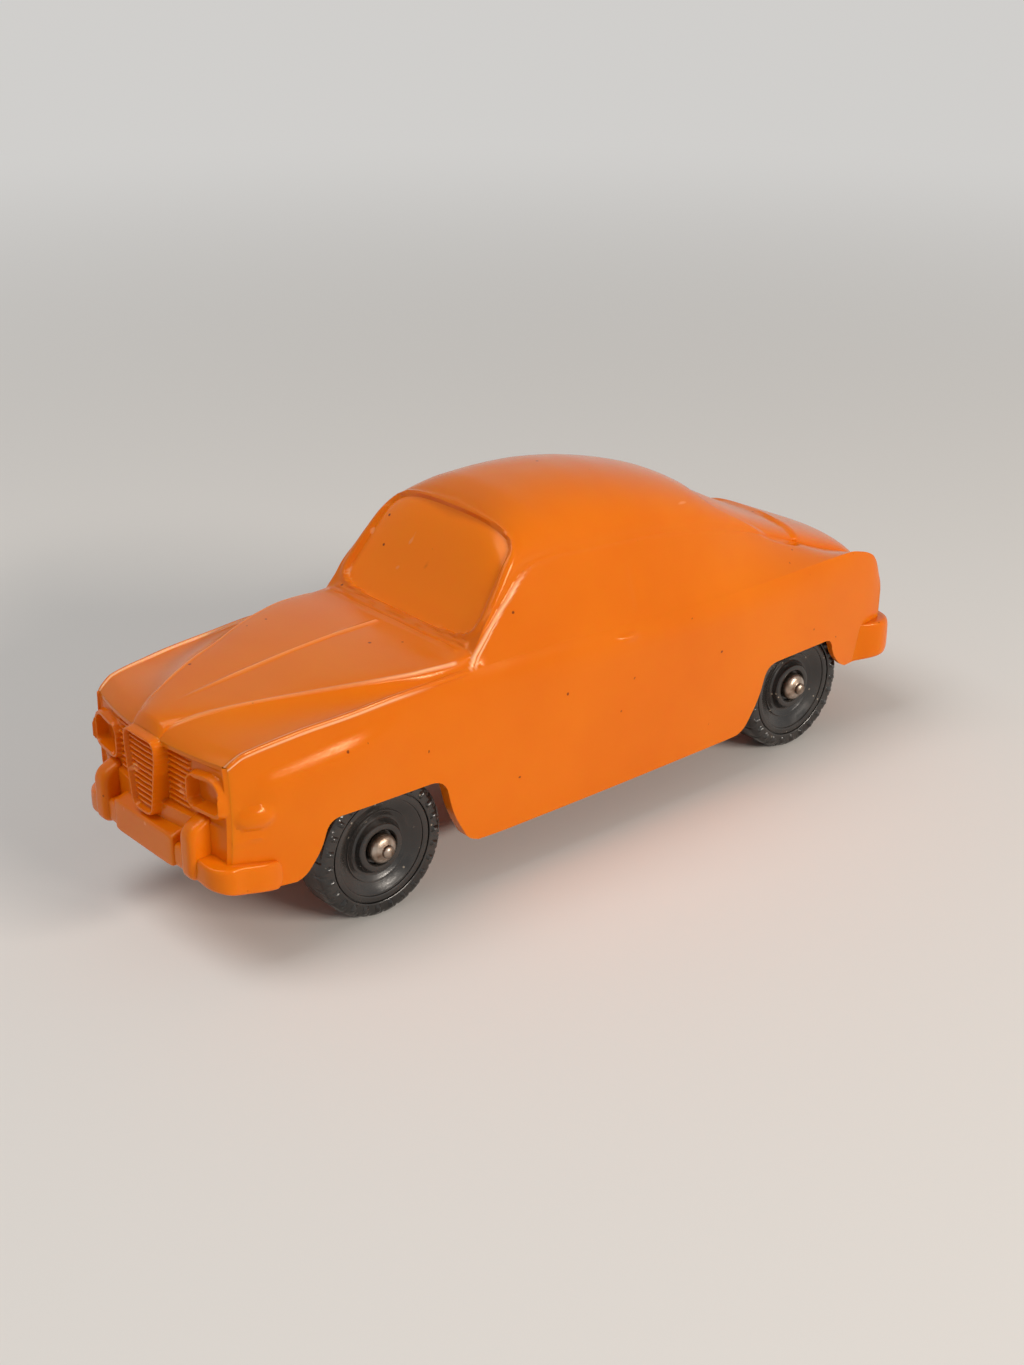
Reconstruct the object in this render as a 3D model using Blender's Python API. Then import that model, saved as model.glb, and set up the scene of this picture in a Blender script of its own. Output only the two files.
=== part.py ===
# Soft plastic toy saloon car: one moulded hollow body, two steel axle pins and four
# moulded wheels. Nose toward -Y, +X is the car's left side, floor at z = 0.
import bpy
import bmesh
import numpy as np
from math import pi, cos, sin

mm = 0.001

# Driving sizes of the car
wheelbase = 58.0 * mm
frontOverhang = 18.3 * mm
rearOverhang = 15.0 * mm
bodyWidth = 26.8 * mm
roofHeight = 36.9 * mm
sillHeight = 5.1 * mm
wallThickness = 1.3 * mm
cornerSweep = 1.6 * mm
flankTuck = 0.45 * mm

# Wheels and axle pins
wheelRadius = 7.26 * mm
wheelWidth = 4.4 * mm
tyreInset = 2.0 * mm
wheelClearance = 0.35 * mm
treadSlots = 18
treadSlotDepth = 0.7 * mm
hubRadius = 2.9 * mm
hubRecess = 1.0 * mm
pinRadius = 0.9 * mm
pinHeadRadius = 1.5 * mm
pinHeadLength = 1.2 * mm
pinTipLength = 0.6 * mm
boreClearance = 0.05 * mm
endGap = 0.3 * mm

# Bearing webs inside the body, one pair on each axle
bearingWidth = 4.6 * mm
bearingThickness = 2.0 * mm

# Wheel arches, measured from their axle
frontArchTop = 6.1 * mm
rearArchTop = 5.1 * mm
frontArchReach = (7.0 * mm, 6.3 * mm)
rearArchReach = (4.2 * mm, 6.7 * mm)
archFlare = (2.4 * mm, 3.0 * mm)
archCorner = 2.2 * mm
footRound = 0.9 * mm

# Front panel
panelDepth = 0.75 * mm
panelBow = 0.5
lampBow = 0.5
panelSideInset = 0.45 * mm
panelTop = 20.6 * mm
panelBase = 14.9 * mm
grilleHalfWidth = 2.75 * mm
grilleBaseHalfWidth = 1.7 * mm
grilleTop = 21.3 * mm
grilleBase = 13.2 * mm
grilleRim = 0.55 * mm
grilleProud = 0.9 * mm
grilleDepth = 0.7 * mm
grilleShoulder = 2.2 * mm
grilleNeck = 0.3 * mm
grilleRound = 1.2 * mm
centreSlats = 10
sideSlats = 6
slatHeight = 0.3 * mm
slatProud = 0.3 * mm
slatRoot = 0.4 * mm
lampWidth = 5.1 * mm
lampSideInset = 0.0 * mm
lampTop = 20.0 * mm
lampBase = 15.8 * mm
lampRim = 0.75 * mm
lampProud = 0.7 * mm
lampDepth = 0.95 * mm
lampOuterDrop = 0.4 * mm
lampInnerDrop = 0.6 * mm
lampChamfer = 1.6 * mm
lampRound = 1.3 * mm
cutterReach = 3.0 * mm
indicatorLength = 3.0 * mm
indicatorHeight = 2.0 * mm
indicatorProud = 0.55 * mm

# Fine ridge along the middle of the bonnet
ridgeHeight = 0.2 * mm
ridgeHalfWidth = 0.7 * mm

# Bumpers
bumperHeight = 2.2 * mm
bumperZ = 10.8 * mm
bumperDrop = 1.6 * mm
bumperProud = 0.9 * mm
bumperWrap = 6.0 * mm
bumperBend = 1.3 * mm
bumperBow = 0.25
bumperCorner = 0.95
flankHeight = 2.8 * mm
rearBumperBow = 1.0
rearBumperCorner = 1.0
rearBumperHeight = 4.4 * mm
rearBumperZ = 10.3 * mm
rearBumperProud = 1.6 * mm
rearBumperWrap = 5.4 * mm
blockHalfWidth = 5.1 * mm
blockHeight = 3.2 * mm
blockProud = 1.05 * mm
blockRise = 0.7 * mm
blockDrop = 0.12 * mm
overriderX = 7.5 * mm
overriderWidth = 2.3 * mm
overriderHeight = 6.0 * mm
overriderProud = 0.9 * mm
overriderDrop = 0.25 * mm
overriderSlope = 1.6 * mm
overriderRound = 1.1 * mm
overriderBevel = 0.3 * mm

# Windows sunk into the moulding, placed by shares of the reach to nose or tail and of the half
# width, and the raised door handles
windowDepth = 0.4 * mm
screenFront = 0.378
screenRear = 0.229
screenBaseWidth = 0.775
screenTopWidth = 0.685
rearWindowFront = 0.559
rearWindowRear = 0.759
rearWindowWidth = 0.507
windowRound = 5
handleLength = 3.6 * mm
handleHeight = 0.5 * mm
handleProud = 0.3 * mm

halfWidth = bodyWidth / 2
noseReach = wheelbase / 2 + frontOverhang
tailReach = wheelbase / 2 + rearOverhang
axleHeight = wheelRadius
tyreFaceX = halfWidth - tyreInset
frontAxleY = -wheelbase / 2
rearAxleY = wheelbase / 2
boreRadius = pinRadius + boreClearance
wheelInnerX = tyreFaceX - wheelWidth
webOuterX = wheelInnerX - endGap
wheelSides = 2 * treadSlots
boreSides = 20

# Body lines, each row: place along the car as a share of the reach to nose or tail,
# then half width and height as shares of the half width and the roof height.
centreLine = [(-1.0, 0.584), (-0.985, 0.613), (-0.94, 0.628), (-0.87, 0.640), (-0.75, 0.656),
              (-0.63, 0.670), (-0.52, 0.677), (-0.42, 0.678), (-0.385, 0.679), (-0.345, 0.732),
              (-0.239, 0.936), (-0.20, 0.971), (-0.15, 0.992), (-0.05, 1.0), (0.0, 0.9985),
              (0.09, 0.986), (0.186, 0.962), (0.33, 0.908), (0.464, 0.827), (0.609, 0.740),
              (0.761, 0.661), (0.864, 0.607), (0.923, 0.575), (0.955, 0.552), (0.984, 0.526), (1.0, 0.495)]
crownLine = [(-1.0, 0.172, 0.574), (-0.985, 0.18, 0.594), (-0.93, 0.255, 0.622), (-0.865, 0.366, 0.638),
             (-0.80, 0.47, 0.646), (-0.73, 0.567, 0.650), (-0.66, 0.68, 0.656), (-0.59, 0.776, 0.660),
             (-0.51, 0.85, 0.661), (-0.425, 0.868, 0.657), (-0.388, 0.866, 0.659), (-0.368, 0.859, 0.692),
             (-0.345, 0.848, 0.735), (-0.30, 0.816, 0.793), (-0.25, 0.784, 0.842), (-0.215, 0.762, 0.855),
             (-0.16, 0.745, 0.853), (-0.105, 0.737, 0.847), (0.0, 0.731, 0.835),
             (0.125, 0.724, 0.823), (0.33, 0.687, 0.783), (0.489, 0.642, 0.726), (0.65, 0.604, 0.656),
             (0.8, 0.582, 0.585), (0.945, 0.567, 0.523), (1.0, 0.555, 0.478)]
crestLine = [(-1.0, 0.817, 0.572), (-0.96, 0.843, 0.598), (-0.87, 0.866, 0.611), (-0.80, 0.882, 0.618),
             (-0.70, 0.903, 0.623), (-0.57, 0.918, 0.632), (-0.43, 0.922, 0.633), (-0.36, 0.922, 0.632),
             (-0.17, 0.927, 0.627), (0.045, 0.933, 0.612), (0.27, 0.933, 0.602), (0.50, 0.918, 0.594),
             (0.70, 0.903, 0.594), (0.84, 0.893, 0.592), (0.90, 0.888, 0.579), (0.95, 0.882, 0.557),
             (0.975, 0.875, 0.529), (1.0, 0.86, 0.47)]
shoulderLine = [(-1.0, 0.832, 0.50), (-0.90, 0.890, 0.530), (-0.77, 0.940, 0.550), (-0.617, 0.970, 0.553),
                (-0.38, 0.988, 0.550), (0.0, 1.0, 0.540), (0.34, 0.993, 0.530), (0.65, 0.967, 0.515),
                (0.85, 0.937, 0.495), (0.95, 0.915, 0.465), (1.0, 0.89, 0.43)]
# Lower edge of the body, as a share of the sill height
lowerLine = [(-1.0, 1.80), (-0.95, 1.64), (-0.90, 1.53), (-0.80, 1.50), (-0.60, 1.45), (-0.40, 1.03), (-0.3, 1.0),
             (0.35, 1.0), (0.46, 1.02), (0.66, 1.55), (0.86, 1.58), (1.0, 1.60)]
noseHalfWidth = crestLine[0][1] * halfWidth
panelHalfWidth = noseHalfWidth - panelSideInset
lampOuterX = noseHalfWidth - lampSideInset
lampInnerX = lampOuterX - lampWidth
# Roundness of the top across the car: 2 is a round crown, 4 a flatter pane
crownPower = [(-1.0, 2.0), (-0.45, 2.2), (-0.36, 5.0), (-0.29, 4.2), (-0.22, 2.9), (-0.15, 2.4), (0.3, 2.1),
              (0.6, 2.6), (1.0, 2.2)]
# Sag of the flank between crown and crest: shares along and up toward the corner
flankSag = [(-1.0, 0.5, 0.3), (-0.8, 0.45, -0.25), (-0.5, 0.45, -0.15), (-0.39, 0.55, 0.2), (-0.34, 0.55, 0.42),
            (-0.25, 0.62, 0.38), (-0.12, 0.78, 0.14), (0.3, 0.76, 0.14), (0.6, 0.62, 0.28), (0.8, 0.5, 0.8),
            (1.0, 0.5, 0.7)]


def clearScene():
    for item in list(bpy.data.objects):
        bpy.data.objects.remove(item, do_unlink=True)


def smoothRow(rows, place):
    # Reads one body line at a place, with slopes that never overshoot its rows
    table = np.array(rows, float)
    x = table[:, 0]
    out = []
    k = int(np.clip(np.searchsorted(x, place) - 1, 0, len(x) - 2))
    for column in range(1, table.shape[1]):
        y = table[:, column]
        rise = np.diff(y) / np.diff(x)
        slope = np.zeros_like(y)
        for i in range(1, len(y) - 1):
            if rise[i - 1] * rise[i] > 0:
                slope[i] = 2 * rise[i - 1] * rise[i] / (rise[i - 1] + rise[i])
        slope[0], slope[-1] = rise[0], rise[-1]
        h = x[k + 1] - x[k]
        t = (np.clip(place, x[0], x[-1]) - x[k]) / h
        out.append((2 * t**3 - 3 * t**2 + 1) * y[k] + (t**3 - 2 * t**2 + t) * h * slope[k]
                   + (3 * t**2 - 2 * t**3) * y[k + 1] + (t**3 - t**2) * h * slope[k + 1])
    return out


def reach(place):
    return place * (noseReach if place < 0 else tailReach)


def sweepAt(x, place):
    # Nose and tail are bowed: their corners lie behind or before the middle
    share = (x / (0.81 * halfWidth)) ** 2 * cornerSweep
    fade = max(0.0, (abs(place) - 0.72) / 0.28)
    return -np.sign(place) * share * fade


def topHeight(x, place):
    # Height of the bonnet, screen, roof or boot at a distance x from the middle
    centre, = smoothRow(centreLine, place)
    crownX, crownZ = smoothRow(crownLine, place)
    power, = smoothRow(crownPower, place)
    t = min(abs(x) / (crownX * halfWidth), 1.0)
    z = (crownZ + (centre - crownZ) * np.sqrt(max(0.0, 1 - t**power))) * roofHeight
    onBonnet = np.clip((-place - 0.40) / 0.04, 0, 1)
    return z + ridgeHeight * onBonnet * max(0.0, 1 - abs(x) / ridgeHalfWidth)


def halfSection(place, counts):
    # Points from the middle of the top down to the lower edge, car's left side
    centre, = smoothRow(centreLine, place)
    crownX, crownZ = smoothRow(crownLine, place)
    crestX, crestZ = smoothRow(crestLine, place)
    sideX, sideZ = smoothRow(shoulderLine, place)
    sagX, sagZ = smoothRow(flankSag, place)
    low, = smoothRow(lowerLine, place)
    crown = np.array([crownX * halfWidth, crownZ * roofHeight])
    crest = np.array([crestX * halfWidth, crestZ * roofHeight])
    shoulder = np.array([sideX * halfWidth, sideZ * roofHeight])
    bottom = np.array([shoulder[0] - flankTuck, low * sillHeight])
    points = []
    for i in range(counts[0]):
        x = ridgeHalfWidth if i == 1 else crown[0] * sin(i / counts[0] * pi / 2)
        points.append((x, topHeight(x, place)))
    corner = np.array([crown[0] + sagX * (crest[0] - crown[0]), crest[1] + sagZ * (crown[1] - crest[1])])
    for i in range(counts[1]):
        t = i / counts[1]
        points.append(tuple((1 - t)**2 * crown + 2 * t * (1 - t) * corner + t**2 * crest))
    corner = np.array([shoulder[0] - 0.1 * (shoulder[0] - crest[0]), crest[1] - 0.35 * (crest[1] - shoulder[1])])
    for i in range(counts[2]):
        t = i / counts[2]
        points.append(tuple((1 - t)**2 * crest + 2 * t * (1 - t) * corner + t**2 * shoulder))
    for i in range(counts[3] + 1):
        t = i / counts[3]
        x = shoulder[0] + (bottom[0] - shoulder[0]) * t**2
        points.append((x, shoulder[1] + (bottom[1] - shoulder[1]) * t))
    return points


def shellSection(place, counts, inset):
    # One half section in space, drawn in by the wall for the inner skin. Where the top slopes,
    # the inner skin also moves along the car, so that the wall keeps its thickness.
    y = reach(place)
    y -= np.sign(y) * inset * max(0.0, (abs(place) - 0.9) / 0.1)
    near = 0.01
    rise = (smoothRow(centreLine, place + near)[0] - smoothRow(centreLine, place - near)[0]) * roofHeight
    slope = rise / (reach(place + near) - reach(place - near))
    fade = np.clip((0.9 - abs(place)) / 0.1, 0, 1)
    y += inset * fade * slope / (np.sqrt(1 + slope**2) + 1)
    half = halfSection(place, counts)
    top = half[0][1]
    low = half[-1][1]
    wide = max(x for x, z in half)
    out = []
    for x, z in half:
        x2 = x * (1 - inset / wide)
        z2 = low + (z - low) * (1 - inset / (top - low))
        out.append((x2, y + sweepAt(x, place), z2))
    return out


def skin(bm, places, counts, inset, columns):
    # Builds the skin of one side of the wall and returns its lower rim, left to right
    rings = []
    for place in places:
        half = shellSection(place, counts, inset)
        left = [bm.verts.new((-x, y, z)) for x, y, z in reversed(half)]
        left.pop()
        right = [bm.verts.new(point) for point in half]
        rings.append(left + right)
    for a, b in zip(rings, rings[1:]):
        for i in range(len(a) - 1):
            face = (a[i], a[i + 1], b[i + 1], b[i]) if inset else (a[i], b[i], b[i + 1], a[i + 1])
            bm.faces.new(face)
    ends = []
    for ring, place in ((rings[0], places[0]), (rings[-1], places[-1])):
        count = len(ring)
        rows = []
        for i in range(count // 2):
            a, b = ring[i], ring[count - 1 - i]
            row = [a]
            for c in range(1, columns):
                x = a.co.x + (b.co.x - a.co.x) * c / columns
                y = a.co.y + sweepAt(x, place) - sweepAt(a.co.x, place)
                row.append(bm.verts.new((x, y, a.co.z)))
            row.append(b)
            rows.append(row)
        outward = (place < 0) == (not inset)
        for low, high in zip(rows, rows[1:]):
            for c in range(columns):
                face = (low[c], low[c + 1], high[c + 1], high[c])
                bm.faces.new(face if outward else face[::-1])
        peak = ring[count // 2]
        for c in range(columns):
            face = (rows[-1][c], rows[-1][c + 1], peak)
            bm.faces.new(face if outward else face[::-1])
        ends.append(rows[0])
    loop = list(ends[0])
    loop += [ring[-1] for ring in rings[1:-1]]
    loop += list(reversed(ends[1]))
    loop += [ring[0] for ring in reversed(rings[1:-1])]
    return loop


def bodyPlaces():
    # Cross-sections lie close together at the nose, the screen and the tail
    spans = [(-1.0, -0.985, 1), (-0.985, -0.93, 2), (-0.93, -0.6, 5), (-0.6, -0.388, 4), (-0.388, -0.368, 1), (-0.368, -0.19, 5),
             (-0.19, -0.06, 2), (-0.06, 0.5, 6), (0.5, 0.87, 4), (0.87, 1.0, 4)]
    out = [-1.0]
    for start, end, count in spans:
        out += [start + (end - start) * (i + 1) / count for i in range(count)]
    return out


def makeObject(name, bm, material=None):
    mesh = bpy.data.meshes.new(name)
    bm.to_mesh(mesh)
    bm.free()
    item = bpy.data.objects.new(name, mesh)
    bpy.context.collection.objects.link(item)
    if material:
        mesh.materials.append(material)
    return item


def makeMaterial(name, colour, roughness, metallic):
    material = bpy.data.materials.new(name)
    material.use_nodes = True
    shader = material.node_tree.nodes["Principled BSDF"]
    shader.inputs["Base Color"].default_value = (*colour, 1)
    shader.inputs["Roughness"].default_value = roughness
    shader.inputs["Metallic"].default_value = metallic
    return material


def smoothShade(item, angle=0.6):
    item.data.shade_smooth()
    item.data.set_sharp_from_angle(angle=angle)


def applyBoolean(target, tools, operation):
    # Joins or cuts with all the tools at once and drops them, so later steps see the result
    group = bpy.data.collections.new("tools")
    for tool in tools:
        group.objects.link(tool)
    modifier = target.modifiers.new(operation, "BOOLEAN")
    modifier.operation = operation
    modifier.solver = "EXACT"
    modifier.operand_type = "COLLECTION"
    modifier.collection = group
    graph = bpy.context.evaluated_depsgraph_get()
    result = bpy.data.meshes.new_from_object(target.evaluated_get(graph))
    target.modifiers.clear()
    old = target.data
    target.data = result
    bpy.data.meshes.remove(old)
    for tool in tools:
        bpy.data.objects.remove(tool, do_unlink=True)
    bpy.data.collections.remove(group)


def prism(outline, start, end, axis):
    # Closed prism: outline points (a, b) run along one axis from start to end
    bm = bmesh.new()
    order = {"x": lambda a, b, c: (c, a, b), "y": lambda a, b, c: (a, c, b), "z": lambda a, b, c: (a, b, c)}[axis]
    rings = [[bm.verts.new(order(a, b, c)) for a, b in outline] for c in (start, end)]
    count = len(outline)
    for i in range(count):
        j = (i + 1) % count
        bm.faces.new((rings[0][i], rings[0][j], rings[1][j], rings[1][i]))
    bm.faces.new(rings[0][::-1])
    bm.faces.new(rings[1])
    bmesh.ops.recalc_face_normals(bm, faces=bm.faces)
    return bm


def roundedPolygon(points, radius, steps=4):
    # Rounds each corner of an outline with a curve through its two shortened sides
    out = []
    count = len(points)
    for i in range(count):
        a, b, c = (np.array(points[(i + k) % count], float) for k in (-1, 0, 1))
        inLength, outLength = np.linalg.norm(a - b), np.linalg.norm(c - b)
        cut = min(radius, 0.45 * inLength, 0.45 * outLength)
        p, q = b + (a - b) / inLength * cut, b + (c - b) / outLength * cut
        for k in range(steps + 1):
            t = k / steps
            out.append(tuple((1 - t)**2 * p + 2 * t * (1 - t) * b + t**2 * q))
    return out


def buildShell():
    bm = bmesh.new()
    places = bodyPlaces()
    outer = skin(bm, places, (8, 5, 3, 4), 0.0, 10)
    inner = skin(bm, places, (6, 2, 1, 3), wallThickness, 10)
    count = len(outer)
    for i in range(count):
        j = (i + 1) % count
        bm.faces.new((outer[i], inner[i], inner[j], outer[j]))
    bmesh.ops.triangulate(bm, faces=bm.faces)
    bmesh.ops.recalc_face_normals(bm, faces=bm.faces)
    return makeObject("body_shell", bm)


def archOutline(axleY, top, reaches):
    # Flat-topped arch with round shoulders, flared below and open at the body's edge.
    # The first reach and flare face the bumper, the second ones face the sill.
    outward = -1 if axleY < 0 else 1
    peak = axleHeight + top
    deep = -wheelRadius
    ends = [(outward, reaches[0], archFlare[0]), (-outward, reaches[1], archFlare[1])]
    sides = []
    for way, span, flare in ends:
        foot = axleY + way * (span + flare)
        low, = smoothRow(lowerLine, placeOf(foot))
        edge = low * sillHeight
        sides.append([(foot + way * 2 * footRound, deep), (foot + way * 2 * footRound, edge - 0.3 * footRound),
                      (foot, edge + 0.4 * footRound), (axleY + way * (span + 0.3 * flare), (edge + peak) / 2),
                      (axleY + way * span, peak)])
    return roundedPolygon(sides[0] + sides[1][::-1], archCorner, 4)


def archTools():
    tools = []
    for axleY, top, reaches in ((frontAxleY, frontArchTop, frontArchReach), (rearAxleY, rearArchTop, rearArchReach)):
        bm = prism(archOutline(axleY, top, reaches), -halfWidth - 5 * mm, halfWidth + 5 * mm, "x")
        tools.append(makeObject("arch_cut", bm))
    return tools


def wheelWellTools():
    # Round relief inside each flank, so that the wheel turns clear of the wall
    tools = []
    width = wheelWidth + wheelClearance
    for axleY in (frontAxleY, rearAxleY):
        for side in (-1, 1):
            well = roundBar(wheelRadius + 2 * wheelClearance, width, wheelSides, "wheel_well")
            well.location = (side * (wheelInnerX + width / 2), axleY, axleHeight)
            tools.append(well)
    return tools


def placeOf(y):
    return y / (noseReach if y < 0 else tailReach)


def sideAt(y, z):
    # Half width of the flank at a height between shoulder and lower edge
    sideX, sideZ = smoothRow(shoulderLine, placeOf(y))
    low, = smoothRow(lowerLine, placeOf(y))
    t = np.clip((sideZ * roofHeight - z) / (sideZ * roofHeight - low * sillHeight), 0, 1)
    return sideX * halfWidth - flankTuck * t**2


def webBlank(axleY, side):
    # Upright web from the underside of the bonnet or boot down round the axle
    half = bearingWidth / 2
    inner, outer = side * (webOuterX - bearingThickness), side * webOuterX
    bm = bmesh.new()
    rings = []
    for x in (inner, outer):
        outline = [(axleY + half * cos(a), axleHeight + half * sin(a)) for a in np.linspace(-pi, 0, 9)]
        for y in (axleY + half, axleY, axleY - half):
            outline.append((y, topHeight(x, placeOf(y)) - 0.55 * wallThickness))
        rings.append([bm.verts.new((x, y, z)) for y, z in outline])
    count = len(rings[0])
    for i in range(count):
        j = (i + 1) % count
        bm.faces.new((rings[0][i], rings[0][j], rings[1][j], rings[1][i]))
    bm.faces.new(rings[0])
    bm.faces.new(rings[1])
    bmesh.ops.triangulate(bm, faces=bm.faces)
    bmesh.ops.recalc_face_normals(bm, faces=bm.faces)
    return makeObject("web", bm)


def roundBar(radius, length, sides, name):
    # Bar along X, centred, with a flat facet underneath
    outline = [(radius * cos(2 * pi * (i + 0.5) / sides), radius * sin(2 * pi * (i + 0.5) / sides))
               for i in range(sides)]
    return makeObject(name, prism(outline, -length / 2, length / 2, "x"))


def webTools():
    return [webBlank(axleY, side) for axleY in (frontAxleY, rearAxleY) for side in (-1, 1)]


def boreTools():
    tools = []
    for axleY in (frontAxleY, rearAxleY):
        bore = roundBar(boreRadius, 2 * wheelInnerX, boreSides, "axle_bore")
        bore.location = (0, axleY, axleHeight)
        tools.append(bore)
    return tools


def sweptPrism(outline, near, far, name, nearBow=1.0, farBow=1.0):
    # Prism on the front panel: its front and its back each follow a share of the nose's bow
    bm = prism(outline, -noseReach + near, -noseReach + far, "y")
    middle = -noseReach + (near + far) / 2
    for vertex in bm.verts:
        vertex.co.y += sweepAt(vertex.co.x, -1.0) * (nearBow if vertex.co.y < middle else farBow)
    bmesh.ops.triangulate(bm, faces=bm.faces)
    return makeObject(name, bm)


def mirrored(outline, side):
    return [(side * x, z) for x, z in outline]


def insetOutline(outline, inset):
    # Draws an outline in by the same amount all round, toward its middle
    points = np.array(outline)
    middle = (points.min(axis=0) + points.max(axis=0)) / 2
    half = (points.max(axis=0) - points.min(axis=0)) / 2
    return [tuple(point) for point in middle + (points - middle) * (half - inset) / half]


def grilleOutline():
    return roundedPolygon([(-grilleBaseHalfWidth, grilleBase), (grilleBaseHalfWidth, grilleBase),
                           (grilleHalfWidth, grilleTop - grilleShoulder), (grilleHalfWidth - grilleNeck, grilleTop),
                           (grilleNeck - grilleHalfWidth, grilleTop), (-grilleHalfWidth, grilleTop - grilleShoulder)],
                          grilleRound, 3)


def lampOutline():
    return roundedPolygon([(lampInnerX, lampBase), (lampOuterX, lampBase), (lampOuterX, lampTop - lampOuterDrop),
                           (lampOuterX - lampChamfer, lampTop), (lampInnerX, lampTop - lampInnerDrop)], lampRound, 3)


def slats(left, right, base, top, count, front, bow):
    # Level bars with equal gaps, standing on the floor of a grille
    tools = []
    pitch = (top - base) / (count + 1)
    for i in range(count):
        z = base + pitch * (i + 1)
        outline = [(left, z - slatHeight / 2), (right, z - slatHeight / 2),
                   (right, z + slatHeight / 2), (left, z + slatHeight / 2)]
        tools.append(sweptPrism(outline, front, front + slatProud + slatRoot, "slat", bow, bow))
    return tools


def panelTools():
    # Sunk panel on each side of the grille, for its side grille and lamp
    panel = [(grilleHalfWidth, panelBase), (panelHalfWidth, panelBase), (panelHalfWidth, panelTop - lampOuterDrop),
             (grilleHalfWidth, panelTop)]
    return [sweptPrism(mirrored(panel, side), -cutterReach, panelDepth, "panel_cut", 1.0, panelBow) for side in (-1, 1)]


def frameTools():
    root = 0.7 * wallThickness
    front = panelDepth - lampProud
    frames = [sweptPrism(mirrored(lampOutline(), side), front, root, "lamp_frame", lampBow) for side in (-1, 1)]
    return frames + [sweptPrism(grilleOutline(), -grilleProud, root, "grille_frame")]


def openingTools():
    lamp = insetOutline(lampOutline(), lampRim)
    cuts = [sweptPrism(mirrored(lamp, side), -cutterReach, lampDepth, "lamp_cut", 1.0, panelBow)
            for side in (-1, 1)]
    floor = insetOutline(grilleOutline(), grilleRim)
    return cuts + [sweptPrism(floor, -cutterReach, -grilleProud + grilleDepth, "grille_cut")]


def slatTools():
    tools = []
    for side in (-1, 1):
        ends = sorted((side * (grilleHalfWidth - grilleNeck), side * (lampInnerX + 0.5 * slatRoot)))
        tools += slats(*ends, panelBase, panelTop - 2 * lampOuterDrop, sideSlats, panelDepth - slatProud,
                       panelBow)
    reachOut = grilleBaseHalfWidth
    tools += slats(-reachOut, reachOut, grilleBase + grilleRim, grilleTop - grilleRim, centreSlats,
                   -grilleProud + grilleDepth - slatProud, 1.0)
    return tools


def bothSides(plan):
    # A plan line given from the middle to one end, with its mirrored other half
    return np.array([(-x, y) for x, y in reversed(plan[1:])] + [tuple(point) for point in plan])


def bumperLoft(plan, roots, heights, zMiddle, drop, proud, name):
    # Rounded bar along a plan line, its back sunk into the body along the line of roots.
    # Its height changes from the first on the face to the second on the flank.
    points = bothSides(plan)
    backs = bothSides(roots)
    tangent = np.gradient(points, axis=0)
    normal = np.stack([tangent[:, 1], -tangent[:, 0]], axis=1)
    normal /= np.linalg.norm(normal, axis=1)[:, None]
    if normal[len(plan) - 1, 1] * points[len(plan) - 1, 1] < 0:
        normal *= -1
    section = [(0.3 * proud, -0.5), (proud, -0.22), (proud, 0.22), (0.3 * proud, 0.5)]
    bm = bmesh.new()
    rings = []
    last = len(points) - 1
    for i, (point, out, back) in enumerate(zip(points, normal, backs)):
        share = abs(2 * i / last - 1)
        middle = zMiddle - drop * max(0.0, share - 0.4) / 0.6
        swell = 0.35 if share == 1 else (0.6 if share > 0.7 else 1.0)
        height = heights[1] if share > 0.7 else heights[0]
        ring = [bm.verts.new((back[0], back[1], middle - height / 2))]
        for lift, level in section:
            x, y = point + out * lift * swell
            ring.append(bm.verts.new((x, y, middle + level * height)))
        ring.append(bm.verts.new((back[0], back[1], middle + height / 2)))
        rings.append(ring)
    for a, b in zip(rings, rings[1:]):
        for i in range(len(a)):
            j = (i + 1) % len(a)
            bm.faces.new((a[i], b[i], b[j], a[j]))
    bm.faces.new(rings[0])
    bm.faces.new(rings[-1][::-1])
    bmesh.ops.remove_doubles(bm, verts=bm.verts, dist=0.001 * mm)
    bmesh.ops.triangulate(bm, faces=bm.faces)
    bmesh.ops.recalc_face_normals(bm, faces=bm.faces)
    return makeObject(name, bm)


def bumperRoots(plan, outward, zMiddle):
    # For each plan point, the nearest place that lies half a wall deep inside the body
    face = noseReach if outward < 0 else tailReach
    embed = 0.5 * wallThickness
    roots = []
    for x, y in plan:
        rootX = min(x, sideAt(y, zMiddle) - embed)
        rootY = min(outward * y, face + outward * sweepAt(rootX, outward) - embed)
        roots.append(np.array([rootX, outward * rootY]))
    return roots


def bumperPlan(outward, wrap, zMiddle, bow, cornerShare):
    # Plan of the bumper, middle to end: it follows a share of the bow of nose or tail,
    # turns a round corner and then runs along the flank
    face = noseReach if outward < 0 else tailReach
    corner = cornerShare * (shoulderLine[0] if outward < 0 else shoulderLine[-1])[1] * halfWidth
    cornerY = outward * face + bow * sweepAt(corner, outward)
    plan = []
    for share in (0.0, 0.22, 0.44, 0.66):
        x = share * corner
        plan.append(np.array([x, outward * face + bow * sweepAt(x, outward)]))
    start = np.array([0.9 * corner, outward * face + bow * sweepAt(0.9 * corner, outward)])
    turn = np.array([corner, cornerY])
    sideY = cornerY - outward * bumperBend
    end = np.array([sideAt(sideY, zMiddle), sideY])
    for k in range(5):
        t = k / 4
        plan.append((1 - t)**2 * start + 2 * t * (1 - t) * turn + t**2 * end)
    for share in (0.5, 0.8, 1.0):
        y = sideY - outward * share * (wrap - bumperBend)
        plan.append(np.array([sideAt(y, zMiddle), y]))
    return plan


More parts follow.
